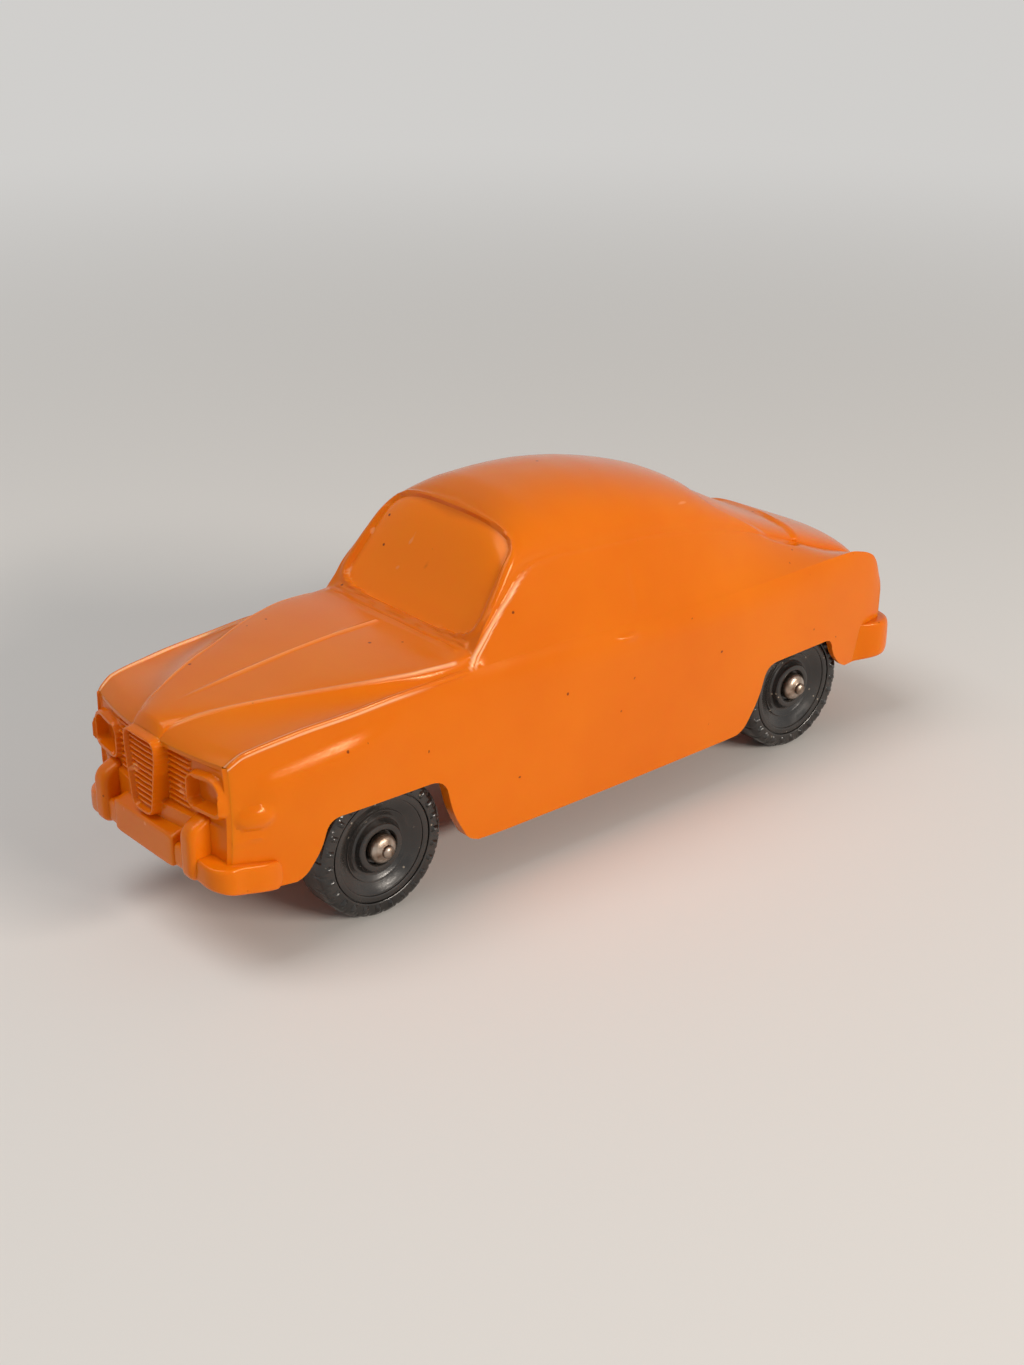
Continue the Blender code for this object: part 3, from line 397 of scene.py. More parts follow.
def meshOf(name, grids, fans=(), weld=0.002):
    # Joins grids of points and fans of faces along the borders that they share
    points, faces, count = [], [], 0
    for grid in grids:
        rows, columns = grid.shape[:2]
        index = count + np.arange(rows * columns).reshape(rows, columns)
        quads = np.stack([index[:-1, :-1], index[:-1, 1:], index[1:, 1:], index[1:, :-1]], -1)
        points.append(grid.reshape(-1, 3))
        faces += quads.reshape(-1, 4).tolist()
        count += rows * columns
    for loop, centre in fans:
        index = count + np.arange(len(loop))
        faces += np.stack([index, np.roll(index, -1), np.full(len(loop), count + len(loop))], 1).tolist()
        points += [loop, np.array(centre, float)[None]]
        count += len(loop) + 1
    points = np.concatenate(points) + np.array([0, midY, 0])
    mesh = bpy.data.meshes.new(name)
    mesh.from_pydata((points * mm).tolist(), [], faces)
    bm = bmesh.new()
    bm.from_mesh(mesh)
    bmesh.ops.remove_doubles(bm, verts=bm.verts, dist=weld * mm)
    bmesh.ops.dissolve_degenerate(bm, edges=bm.edges, dist=0.1 * weld * mm)
    bmesh.ops.recalc_face_normals(bm, faces=bm.faces)
    bm.to_mesh(mesh)
    bm.free()
    return newObject(name, mesh)


def shadeRound(piece, angle):
    piece.data.shade_smooth()
    piece.data.set_sharp_from_angle(angle=angle)


def rideBody(piece, angle=0.7):
    shadeRound(piece, angle)
    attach(piece, "body")
    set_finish(piece, "body")


def booleanWith(piece, tools, operation):
    # Cuts or joins closed meshes and drops the tools
    for tool in tools:
        modifier = piece.modifiers.new(operation, "BOOLEAN")
        modifier.operation = operation
        modifier.solver = "MANIFOLD"
        modifier.object = tool
    graph = bpy.context.evaluated_depsgraph_get()
    made = bpy.data.meshes.new_from_object(piece.evaluated_get(graph))
    piece.modifiers.clear()
    old = piece.data
    piece.data = made
    bpy.data.meshes.remove(old)
    for tool in tools:
        bpy.data.objects.remove(tool, do_unlink=True)


def bodyPlaces():
    # Cross-sections are closer at the nose, round the screen and at the tail
    knots = np.array([-1.0, -0.93, -0.45, -0.39, -0.19, -0.1, 0.5, 0.85, 1.0])
    weights = np.array([1.8, 1.0, 1.4, 2.2, 1.2, 0.75, 1.0, 1.7])
    lengths = np.concatenate([[0], np.cumsum(np.diff(knots) * weights)])
    return np.interp(np.linspace(0, lengths[-1], body["along"]), lengths, knots)


def fullSections(place, inset):
    # Cross-sections from one lower edge over the top to the other
    x, z = halfSections(place)
    if inset:
        keep = np.unique(np.concatenate([np.arange(0, x.shape[1], body["innerSkip"]), [x.shape[1] - 1]]))
        x, z = x[:, keep], z[:, keep]
    reach = reachOf(place) * place
    reach = reach - np.sign(place) * inset * np.clip((np.abs(place) - 0.9) / 0.1, 0, None)
    y = reach[:, None] + bowAt(x, place[:, None])
    top, low, wide = z[:, :1], z[:, -1:], x.max(axis=1, keepdims=True)
    half = np.stack([x * (1 - inset / wide), y, blend(low, z, 1 - inset / (top - low))], -1)
    left = half[:, :0:-1] * np.array([-1, 1, 1])
    return np.concatenate([left, half], axis=1)


def stripBetween(a, b):
    # Grid between two closed rings of equally many points
    return np.stack([np.vstack([a, a[:1]]), np.vstack([b, b[:1]])])


def sunkEnd(ring, inward, depth):
    # Closes an end: a narrow step inward, then a fan of faces
    middle = np.array([0, 0, (ring[:, 2].min() + ring[:, 2].max()) / 2])
    narrow = np.array([body["endShare"], 1, body["endShare"]])
    sunk = (ring - middle) * narrow + middle + np.array([0, inward * depth, 0])
    centre = middle + np.array([0, np.median(sunk[:, 1]) + body["endDish"] * inward, 0])
    return stripBetween(ring, sunk), (sunk, centre)


def makeShell():
    # Closed hollow moulding: outer skin, inner skin, both ends and the lower rim
    place = bodyPlaces()
    outer = fullSections(place, 0)
    x, y, z = np.moveaxis(outer, -1, 0)
    lift = skinRelief(x, y, z, np.repeat(place[:, None], outer.shape[1], 1))
    normal = gridNormals(outer)
    outer = outer + normal * lift[..., None]
    inner = fullSections(place, body["wall"])
    grids, fans = [outer, inner], []
    for k, inward in ((0, 1), (-1, -1)):
        for skin, depth in zip((outer, inner), body["endDepths"]):
            strip, fan = sunkEnd(skin[k], inward, depth)
            grids.append(strip)
            fans.append(fan)
        grids.append(np.stack([outer[k][[0, -1]], inner[k][[0, -1]]]))
        grids.append(np.stack([outer[:, k], inner[:, k]]))
    return meshOf("body_skin", grids, fans)


def prismOf(name, outline, start, end):
    # Closed prism of an outline across the car
    loops = [np.insert(np.array(outline, float), 0, x, axis=1) for x in (start, end)]
    return meshOf(name, [stripBetween(*loops)], [(loop, loop.mean(axis=0)) for loop in loops])


def roundCorners(points, radius, steps=6):
    # Rounds each corner of an outline with a curve between its shortened sides
    points = np.array(points, float)
    a, c = np.roll(points, 1, axis=0), np.roll(points, -1, axis=0)
    inLength = np.linalg.norm(a - points, axis=1)
    outLength = np.linalg.norm(c - points, axis=1)
    cut = np.minimum(radius, 0.45 * np.minimum(inLength, outLength))[:, None]
    p = points + (a - points) / inLength[:, None] * cut
    q = points + (c - points) / outLength[:, None] * cut
    t = np.linspace(0, 1, steps + 1)[None, :, None]
    return curve(p[:, None], points[:, None], q[:, None], t).reshape(-1, 2)


# Wheel openings, front and rear: height above the axle, and reach toward the car's end and middle
arch = {"tops": (6.1, 5.1), "reaches": ((7.0, 6.3), (4.2, 6.7)), "flare": (2.4, 3.0), "corner": 2.2,
        "foot": 0.9, "across": 20, "drop": -7.0,
        "wheelRadius": 7.26, "tyreFace": 11.4, "tyreWidth": 4.4, "clearance": 0.35}


def circle(axleY, radius, start, end, count, whole=False):
    # Arc round an axle, seen from the side
    angle = np.linspace(start, end, count, endpoint=not whole)
    return np.stack([axleY + radius * np.cos(angle), axleHeight + radius * np.sin(angle)], 1)


def archTools():
    # Flat-topped arches with rounded corners, and round room for each wheel
    tools = []
    for axleY, top, reaches in zip((-wheelbase / 2, wheelbase / 2), arch["tops"], arch["reaches"]):
        outward = np.sign(axleY)
        peak = axleHeight + top
        sides = []
        for way, span, flare in zip((outward, -outward), reaches, arch["flare"]):
            foot = axleY + way * (span + flare)
            low = bodyLine("lowerLine", placeOf(foot))[0] * body["sillHeight"]
            far = foot + way * 2 * arch["foot"]
            sides.append([(far, arch["drop"]), (far, low - 0.3 * arch["foot"]),
                          (foot, low + 0.4 * arch["foot"]),
                          (axleY + way * (span + 0.3 * flare), (low + peak) / 2),
                          (axleY + way * span, peak)])
        outline = roundCorners(sides[0] + sides[1][::-1], arch["corner"])
        tools.append(prismOf("arch_tool", outline, -arch["across"], arch["across"]))
        outline = circle(axleY, arch["wheelRadius"] + 2 * arch["clearance"], 0, 2 * np.pi, 96, whole=True)
        for side in (-1, 1):
            inner = side * (arch["tyreFace"] - arch["tyreWidth"])
            outer = side * (arch["tyreFace"] + arch["clearance"])
            tools.append(prismOf("well_tool", outline, inner, outer))
    return tools


web = {"half": 2.3, "outerX": 6.7, "thickness": 2.0, "bore": 0.95, "boreReach": 7}


def webTools():
    # Bearing webs that hang down round each axle, and the holes for the wires
    webs, bores = [], []
    for axleY in (-wheelbase / 2, wheelbase / 2):
        y = axleY + web["half"] * np.linspace(1, -1, 9)
        top = topHeight(np.full(9, web["outerX"]), placeOf(y)) - 0.6 * body["wall"]
        outline = np.vstack([circle(axleY, web["half"], -np.pi, 0, 25), np.stack([y, top], 1)])
        for side in (-1, 1):
            inner = side * (web["outerX"] - web["thickness"])
            webs.append(prismOf("web_tool", outline, inner, side * web["outerX"]))
        outline = circle(axleY, web["bore"], 0, 2 * np.pi, 48, whole=True)
        bores.append(prismOf("bore_tool", outline, -web["boreReach"], web["boreReach"]))
    return webs, bores


def addMarks(piece):
    # Two values at each point, for the material: painted highlight lines and the windscreen painted
    # brighter
    points = np.empty(3 * len(piece.data.vertices))
    piece.data.vertices.foreach_get("co", points)
    x, y, z = (points.reshape(-1, 3) / mm - np.array([0, midY, 0])).T
    place = placeOf(y - bowAt(x, placeOf(y)))
    for name, values in (("paintedHighlight", paintedHighlight(x, y, z, place)), ("barThinningAndScreenLight", screenShare(x, y, z))):
        piece.data.attributes.new(name, "FLOAT", "POINT").data.foreach_set("value", values)


shell = makeShell()
booleanWith(shell, archTools(), "DIFFERENCE")
webs, bores = webTools()
booleanWith(shell, webs, "UNION")
booleanWith(shell, bores, "DIFFERENCE")
addMarks(shell)
rideBody(shell, 0.55)
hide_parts("body_shell")
print("stage: body skin,", len(shell.data.polygons), "faces")


nose = {
    "rows": 150, "columns": 250,
    "panelHalf": 10.5, "panelTop": 20.6, "panelBase": 14.9, "panelDepth": 0.75, "bow": 0.5,
    "grille": {"top": 21.3, "base": 13.2, "topHalf": 2.75, "baseHalf": 1.75, "rim": 0.42, "proud": 0.9,
        "depth": 0.65, "bars": 13, "barHeight": 0.32, "barEnds": (0.15, 0.2), "flare": 1.35,
        "slant": 0.99, "corner": 1.0},
    "side": {"inner": 2.6, "outer": 6, "bars": 9, "barHeight": 0.28, "headroom": 0.6},
    "lamp": {"inner": 5.85, "outer": 10.95, "top": 20, "base": 15.8, "rim": 0.62, "front": 0.02,
        "floor": 1.25, "corner": 1.2, "slope": 0.12, "innerRim": 0.2, "rimFade": (1.2, 0.6),
        "topDrop": 0.5, "cut": 0.9, "cutSlant": 0.7},
    "edge": 0.28, "fieldCorner": 0.5, "barEase": 0.3, "barShape": (0.1, 1.2),
    "lip": 0.3, "lipWidth": 0.28, "lipFoot": 1 / 12, "backDepth": 1.3, "backShare": 0.88,
    # rows lie closer near the top, and the relief fades out at the rim
    "rowPower": 0.8, "rimSpans": (11, 10), "rimEase": 0.15,
}


def roundedDistance(planes, radius):
    # Distance to a round-cornered outline given by its sides, below 0 inside
    stack = np.stack(planes)
    outside = np.sqrt((np.clip(stack + radius, 0, None) ** 2).sum(axis=0))
    inside = np.clip(stack.max(axis=0) + radius, None, 0)
    return outside + inside - radius


def levelBars(z, base, top, count):
    # Even row of level bars between two heights
    return above(np.cos(2 * np.pi * (z - base) / (top - base) * count), nose["barShape"])


def noseRelief(x, z):
    # Sunk field with level bars, framed lamps and the tall middle grille. Field and lamps keep only
    # a part of the nose's bow.
    side = np.abs(x)
    flatten = (1 - nose["bow"]) * bowAt(x, -1.0)
    g, s, lamp = nose["grille"], nose["side"], nose["lamp"]
    edge, ease = nose["edge"], nose["barEase"]
    field = roundedDistance([side - nose["panelHalf"], z - nose["panelTop"], nose["panelBase"] - z],
                            nose["fieldCorner"])
    bars = levelBars(z, nose["panelBase"], nose["panelTop"] - s["headroom"], s["bars"])
    bars = bars * below(side, (s["outer"], ease)) * above(side, (s["inner"], ease))
    floor = flatten - nose["panelDepth"] + s["barHeight"] * bars * step(-field, ease, ease)
    h = blend(0, floor, step(-field, 0, edge))
    slope = lamp["slope"] * (side - lamp["inner"])
    cut = lamp["cutSlant"] * (side + z - lamp["outer"] - lamp["top"] + lamp["cut"])
    frameLine = roundedDistance([side - lamp["outer"], lamp["inner"] - side,
                                 z - lamp["top"] + lamp["topDrop"] - slope, lamp["base"] - z, cut],
                                lamp["corner"])
    h = blend(h, flatten - lamp["front"], step(-frameLine, 0, edge))
    rim = lamp["rim"] - lamp["innerRim"] * below(side - lamp["inner"], lamp["rimFade"])
    h = blend(h, flatten - lamp["floor"], step(-frameLine, rim, edge))
    taper = (z - g["base"]) / (g["top"] - g["base"])
    half = g["baseHalf"] + (g["topHalf"] - g["baseHalf"]) * np.clip(g["flare"] * taper, 0, 1)
    outline = roundedDistance([(side - half) * g["slant"], z - g["top"], g["base"] - z], g["corner"])
    bars = g["barHeight"] * levelBars(z, g["base"] + g["rim"], g["top"] - g["rim"], g["bars"])
    bars = bars * above(-outline - g["rim"], g["barEnds"])
    frameHeight = g["proud"] - step(-outline, g["rim"], edge) * g["depth"] + bars
    return blend(h, frameHeight, step(-outline, 0, edge))


def makePanel(name, outward):
    # Closed panel over an end: u runs across, v up. Only the nose has relief
    x, z = halfSections(np.array([float(outward)]))
    x, z = x[0], z[0]
    crest = body["around"][0] + body["around"][1]
    sideX, sideZ = x[crest:][::-1], z[crest:][::-1]
    u = np.linspace(-1, 1, nose["columns"])[None, :]
    v = np.linspace(0, 1, nose["rows"])[:, None] ** nose["rowPower"]
    topZ = np.interp(np.abs(u) * x[crest], x[:crest + 1], z[:crest + 1])
    gridZ = z[-1] + v * (topZ - z[-1])
    gridX = u * np.interp(gridZ, sideZ, sideX)
    base = outward * reachOf(outward) + bowAt(gridX, outward)
    h = np.zeros_like(gridX)
    if outward < 0:
        tall, wide = nose["rimSpans"]
        margin = np.minimum(np.minimum(v, 1 - v) * tall, np.minimum(1 + u, 1 - u) * wide)
        h = noseRelief(gridX, gridZ) * np.clip(margin / nose["rimEase"], 0, 1)
        fromSide = (1 - np.abs(u)) * nose["panelHalf"]
        lip = bump(fromSide - nose["lipWidth"], nose["lipWidth"]) * np.clip(v / nose["lipFoot"], 0, 1)
        h += nose["lip"] * lip
    front = np.stack([gridX, base + outward * h, gridZ], -1)
    rim = np.concatenate([front[0], front[1:, -1], front[-1, -2::-1], front[-2:0:-1, 0]])
    middle = np.array([0, 0, (z[-1] + z[0]) / 2])
    narrow = np.array([nose["backShare"], 1, nose["backShare"]])
    back = (rim - middle) * narrow + middle - np.array([0, outward * nose["backDepth"], 0])
    return meshOf(name, [front, stripBetween(rim, back)], [(back, back.mean(axis=0))])


for name, outward in (("nose_panel", -1), ("tail_panel", 1)):
    rideBody(makePanel(name, outward), 0.55)
print("stage: nose and tail panels")

# Heights are in the middle and at the ends. Merge tells how far the ends sink into the flank
bumper = {
    "front": {"heights": (2.4, 2.9), "z": 10.85, "drop": 1.6, "proud": 0.9, "wrap": 6, "bend": 1,
        "bow": 0.25, "corner": 0.95, "fade": 0.3, "merge": 0.0},
    "rear": {"heights": (4.4, 4.4), "z": 10.3, "drop": 0, "proud": 1.6, "wrap": 5.4, "bend": 1.3,
        "bow": 1, "corner": 1, "fade": 0.3, "merge": 1.0},
    "block": {"half": 5.1, "height": 3.2, "proud": 1.05, "rise": 0.7, "back": 0.8, "squareness": 0.16,
        "below": 0.12, "rows": 48, "columns": 72},
    "overrider": {"x": 7.5, "width": 2.1, "height": 6.5, "proud": 0.9, "slope": 1.3, "round": 1.1,
        "edge": 0.7, "below": 0.25},
    "stations": 220, "around": 28, "facePower": 0.3, "topPower": 0.5, "root": 0.5,
    # points on face, corner and flank, where the corner starts, and the gaps before and after it
    "points": (24, 12, 14), "turnFrom": 0.9, "gap": (0.01, 0.08),
    # where, on the way from the middle to an end, the bar changes
    "closeFrom": 0.95, "barThinningAndScreenLight": (0.72, 0.12), "tipFrom": 0.84, "tipLoss": 0.85,
    "sink": (0.86, 0.26), "sinkDepth": 0.35, "grow": (0.68, 0.16), "dropFrom": 0.4,
}


def flankX(y, z):
    # Half width of the flank at a height
    x, top = np.moveaxis(pointsOf("shoulderLine", placeOf(y)), -1, 0)
    foot = bodyLine("lowerLine", placeOf(y))[0] * body["sillHeight"]
    return x - body["flankTuck"] * np.clip((top - z) / (top - foot), 0, 1)**2


def bumperPath(outward, size):
    # Plan of the bar and of its sunk back: it follows a share of the bow of nose or tail, turns a
    # corner and runs along the flank
    reach = reachOf(outward)
    corner = size["corner"] * pointsOf("shoulderLine", outward)[0]

    def faceAt(x):
        return np.stack([x, outward * reach + size["bow"] * bowAt(x, outward)], -1)

    counts, turnFrom, gap = bumper["points"], bumper["turnFrom"], bumper["gap"]
    face = faceAt(np.linspace(0, (turnFrom - gap[0]) * corner, counts[0]))
    start, turn = faceAt(np.array([turnFrom * corner, corner]))
    sideY = turn[1] - outward * size["bend"]
    end = np.array([flankX(sideY, size["z"]), sideY])
    bend = curve(start, turn, end, np.linspace(0, 1, counts[1])[:, None])
    y = sideY - outward * np.linspace(gap[1], 1, counts[2]) * (size["wrap"] - size["bend"])
    half = np.vstack([face, bend, np.stack([flankX(y, size["z"]), y], 1)])
    path = np.vstack([half[:0:-1] * np.array([-1, 1]), half])
    path = pointsAt(path, np.linspace(0, lengthsAlong(path)[-1], bumper["stations"]))
    deep = bumper["root"] * body["wall"]
    rootX = np.minimum(np.abs(path[:, 0]), flankX(path[:, 1], size["z"]) - deep)
    rootY = np.minimum(outward * path[:, 1], reach + outward * bowAt(rootX, outward) - deep)
    return path, np.stack([np.sign(path[:, 0]) * rootX, outward * rootY], 1)


def makeBumper(name, outward, size):
    # Rounded bar along the plan, its back sunk into the body, drawn to a point at both ends
    path, roots = bumperPath(outward, size)
    tangent = np.gradient(path, axis=0)
    normal = np.stack([tangent[:, 1], -tangent[:, 0]], 1) * -outward
    normal /= np.linalg.norm(normal, axis=1, keepdims=True)
    share = np.abs(np.linspace(-1, 1, len(path)))[:, None]
    closing = np.sqrt(1 - shareFrom(share, bumper["closeFrom"])**2)
    tip = bumper["tipLoss"] * shareFrom(share, bumper["tipFrom"])**2
    fade = 1 - size["fade"] * above(share, bumper["barThinningAndScreenLight"]) - (1 - size["fade"]) * tip
    angle = np.linspace(-np.pi / 2, np.pi / 2, bumper["around"] + 1)[None, :]
    lift = size["proud"] * np.abs(np.cos(angle))**bumper["facePower"] * closing * fade
    sink = size["merge"] * above(share, bumper["sink"])
    lift = lift * (1 - sink) - bumper["sinkDepth"] * sink
    height = blend(*size["heights"], above(share, bumper["grow"])) * closing
    middle = size["z"] - size["drop"] * shareFrom(share, bumper["dropFrom"])
    level = np.sign(angle) * np.abs(np.sin(angle))**bumper["topPower"] * height / 2
    x, y = (path[:, k:k + 1] + normal[:, k:k + 1] * lift for k in (0, 1))
    front = np.stack([x, y, middle + level], -1)
    backs = [np.concatenate([roots[:, None], (middle + way * height / 2)[:, None]], axis=2)
             for way in (1, -1)]
    return meshOf(name, [np.concatenate([front, *backs, front[:, :1]], axis=1)], weld=0.001)


for word, outward in (("front", -1), ("rear", 1)):
    rideBody(makeBumper(word + "_bumper", outward, bumper[word]))
block = bumper["block"]
blockBase = bumper["front"]["z"] - bumper["front"]["heights"][0] / 2 - block["below"]
blockFront = -body["noseReach"] - block["proud"]
blockBack = -body["noseReach"] + block["back"]


def makeBlock():
    # Box with rounded sides, by powers of sine and cosine, whose top rises toward its back
    a = np.linspace(0, 2 * np.pi, block["columns"] + 1)[None, :]
    b = np.linspace(-np.pi / 2, np.pi / 2, block["rows"] + 1)[:, None]

    def power(value):
        return np.sign(value) * np.where(np.abs(value) < 1e-9, 0, np.abs(value)) ** block["squareness"]

    half = np.array([block["half"], (blockBack - blockFront) / 2, block["height"] / 2])
    x = power(np.cos(b)) * power(np.cos(a))
    z = power(np.cos(b)) * power(np.sin(a))
    grid = np.stack([x, power(np.sin(b)) * np.ones_like(a), z], -1) * half
    rise = block["rise"] * (grid[..., 1] / (blockBack - blockFront) + 0.5)
    grid[..., 2] += np.where(grid[..., 2] > 0, rise, 0)
    centre = np.array([0, (blockFront + blockBack) / 2, blockBase + block["height"] / 2])
    return meshOf("centre_block", [grid + centre], weld=0.001)


rideBody(makeBlock())
guard = bumper["overrider"]
guardBow = bowAt(guard["x"], -1.0)
guardFront = blockFront - guard["proud"] + guardBow
guardBack = blockBack + guardBow


def makeOverrider(name, side):
    # Upright blade with a sloping rounded head and eased edges
    foot = blockBase - guard["below"]
    head = foot + guard["height"]
    outline = roundCorners([(guardBack, foot), (guardFront, foot), (guardFront, head - guard["slope"]),
                            (guardBack, head)], guard["round"], 10)
    high, low = outline.max(axis=0), outline.min(axis=0)
    middle, half = (high + low) / 2, (high - low) / 2
    turn = np.linspace(-1, 1, 15)
    across = np.sign(turn) * (1 - (1 - np.abs(turn))**2) * guard["width"] / 2
    over = np.clip((np.abs(across) - guard["width"] / 2 + guard["edge"]) / guard["edge"], 0, 1)
    inset = guard["edge"] * (1 - np.sqrt(1 - over**2))
    shrink = 1 - inset[:, None, None] / half
    flat = middle + (outline[None] - middle) * shrink
    x = np.broadcast_to(side * guard["x"] + across[:, None, None], flat.shape[:2] + (1,))
    grid = np.concatenate([x, flat], 2)
    closed = np.concatenate([grid, grid[:, :1]], axis=1)
    return meshOf(name, [closed], [(loop, loop.mean(axis=0)) for loop in (grid[0], grid[-1])], weld=0.001)


for side, word in ((1, "left"), (-1, "right")):
    rideBody(makeOverrider("overrider_" + word, side))
print("stage: bumpers")

wheel = {
    "radius": arch["wheelRadius"], "faceX": arch["tyreFace"], "segments": 416, "spacing": 0.2, "turn": 1.3,
    # ribs and grooves run between two shares of the radius
    "ribs": 26, "ribHeight": 0.28, "ribInner": (0.835, 0.02), "ribOuter": (0.925, 0.05),
    "grooveDepth": 0.1, "grooveInner": (0.93, 0.03), "shoulder": 0.95, "frontHalf": (1.6, 0.8),
    # distance in from the face and share of the radius, from the bore outward and round
    "profile": [
        (1.05, 0.131), (1.05, 0.2), (1, 0.238), (0.5, 0.25), (0.38, 0.265), (0.34, 0.3), (0.38, 0.335),
        (0.5, 0.35), (1, 0.375), (1.16, 0.4), (1.14, 0.43), (0.98, 0.475), (0.88, 0.5), (0.86, 0.512),
        (0.97, 0.52), (0.96, 0.53), (0.86, 0.56), (0.62, 0.625), (0.5, 0.66), (0.45, 0.675), (0.44, 0.685),
        (0.34, 0.69), (0.28, 0.71), (0.26, 0.755), (0.28, 0.768), (0.46, 0.774), (0.46, 0.784),
        (0.24, 0.79), (0.19, 0.8), (0.18, 0.86), (0.19, 0.92), (0.25, 0.95), (0.4, 0.975), (0.65, 0.992),
        (1, 0.999), (2.2, 1), (3.8, 0.998), (4.08, 0.985), (4.28, 0.965), (4.4, 0.93), (4.4, 0.84),
        (4.25, 0.8), (3.6, 0.76), (3.5, 0.45), (3.7, 0.33), (4.4, 0.31), (4.4, 0.131)],
}


def denseProfile(points, spacing):
    # Adds evenly spaced points to a profile
    length = lengthsAlong(points)
    return pointsAt(points, np.unique(np.concatenate([length, np.arange(0, length[-1], spacing)])))


def turned(x, radius, segments, centre):
    # Grid of a profile turned about an axle
    angle = np.linspace(0, 2 * np.pi, segments + 1)[:, None]
    y = centre[1] - midY + radius * np.cos(angle)
    return np.stack([np.broadcast_to(x, y.shape), y, centre[2] + radius * np.sin(angle)], -1)


def makeWheel(name, side, centre, phase):
    # Turned profile with short ribs on the sidewall and fine grooves on the shoulder
    profile = np.array(wheel["profile"]) * np.array([1, wheel["radius"]])
    inward, radius = denseProfile(profile, wheel["spacing"]).T[:, None]
    angle = np.linspace(0, 2 * np.pi, wheel["segments"] + 1)[:, None]
    wave = np.cos(wheel["ribs"] * angle + phase)
    share = radius / wheel["radius"]
    front = below(inward, wheel["frontHalf"])
    rib = np.clip((wave - 0.45) / 0.55, 0, 1)**0.8 * above(share, wheel["ribInner"])
    rib = rib * below(share, wheel["ribOuter"]) * front
    groove = step(-wave, 0.88, 0.14) * above(share, wheel["grooveInner"]) * front
    away = shareFrom(share, wheel["shoulder"])
    inward = inward - wheel["ribHeight"] * rib + wheel["grooveDepth"] * groove * (1 - away)
    radius = radius - wheel["grooveDepth"] * groove * away
    grid = turned(side * (wheel["faceX"] - inward), radius, wheel["segments"], centre)
    grid = np.concatenate([grid, grid[:, :1]], axis=1)
    return meshOf(name, [grid], weld=0.001)


# The profile holds the distance out from the head's foot and the share of its radius
pin = {
    "radius": 0.9, "headX": 10.7, "half": 1.5, "headStretch": 1.09, "spacing": 0.25, "segments": 64,
    "profile": [
        (0, 0.6), (0, 0.96), (0.05, 1), (0.45, 1), (0.62, 0.97), (0.8, 0.88), (0.95, 0.73),
        (1.05, 0.56), (1.09, 0.47), (1.12, 0.43), (1.3, 0.43), (1.42, 0.41), (1.52, 0.34), (1.6, 0.22),
        (1.64, 0)],
}


def makePin(name, centre):
    # Wire with a domed head and a small nub at each end
    head = np.array(pin["profile"])
    right = np.stack([pin["headX"] + head[:, 0] * pin["headStretch"], head[:, 1] * pin["half"]], 1)
    right = np.vstack([[pin["headX"], pin["radius"]], right[1:]])
    profile = np.vstack([right[::-1] * np.array([-1, 1]), right])
    x, radius = denseProfile(profile, pin["spacing"]).T[:, None]
    return meshOf(name, [turned(x, radius, pin["segments"], centre)], weld=0.0005)


def standFor(piece, name, slot):
    # The piece takes a CAD body's place
    shadeRound(piece, 0.6)
    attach(piece, name)
    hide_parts(name)
    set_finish(piece, slot)


for k, name in enumerate(["front_left_wheel", "front_right_wheel", "rear_left_wheel", "rear_right_wheel"]):
    side = 1 if "left" in name else -1
    standFor(makeWheel(name + "_moulding", side, middleOf(name), wheel["turn"] * k), name, "wheel")
for name in ("front_axle", "rear_axle"):
    standFor(makePin(name + "_pin", middleOf(name)), name, "axle")
print("stage: wheels and pins")


def hexColour(text):
    # sRGB hex to linear
    c = np.array([int(text[i:i + 2], 16) for i in (1, 3, 5)]) / 255
    linear = np.where(c <= 0.04045, c / 12.92, ((c + 0.055) / 1.055) ** 2.4)
    return (*linear.tolist(), 1.0)


def newMaterial(name, base):
    # Material, its shader and a node for places
    material = bpy.data.materials.new(name)
    material.use_nodes = True
    shader = material.node_tree.nodes["Principled BSDF"]
    for socket, value in base.items():
        shader.inputs[socket].default_value = value
    return material, shader, addNode(material.node_tree, "ShaderNodeTexCoord")


def addNode(tree, kind, settings=None, links=None):
    # A node with its settings and incoming links, each (node, output name)
    node = tree.nodes.new(kind)
    for key, value in (settings or {}).items():
        if isinstance(key, str) and hasattr(node, key):
            setattr(node, key, value)
        else:
            node.inputs[key].default_value = value
    for key, (source, output) in (links or {}).items():
        link(source, output, node, key)
    return node


def link(source, output, target, socket):
    # id_data is the tree that a node is in
    source.id_data.links.new(source.outputs[output], target.inputs[socket])


def rampNode(source, stops, output="Fac"):
    ramp = addNode(source.id_data, "ShaderNodeValToRGB", {}, {"Fac": (source, output)})
    while len(ramp.color_ramp.elements) < len(stops):
        ramp.color_ramp.elements.new(0.5)
    for element, (position, colour) in zip(ramp.color_ramp.elements, stops):
        element.position = position
        element.color = hexColour(colour) if isinstance(colour, str) else (colour, colour, colour, 1)
    return ramp


def noise(place, scale, detail, output="Object"):
    return addNode(place.id_data, "ShaderNodeTexNoise", {"Scale": scale, "Detail": detail},
                   {"Vector": (place, output)})


def product(first, second):
    return addNode(first[0].id_data, "ShaderNodeMath", {"operation": "MULTIPLY"}, {0: first, 1: second})


def layered(colour, layers):
    # Lays plain colours over another, each by its own share
    for share, text in layers:
        node = addNode(share[0].id_data, "ShaderNodeMix", {"data_type": "RGBA"},
                       {"Factor": share, 6: colour})
        node.inputs[7].default_value = hexColour(text)
        colour = (node, 2)
    return colour


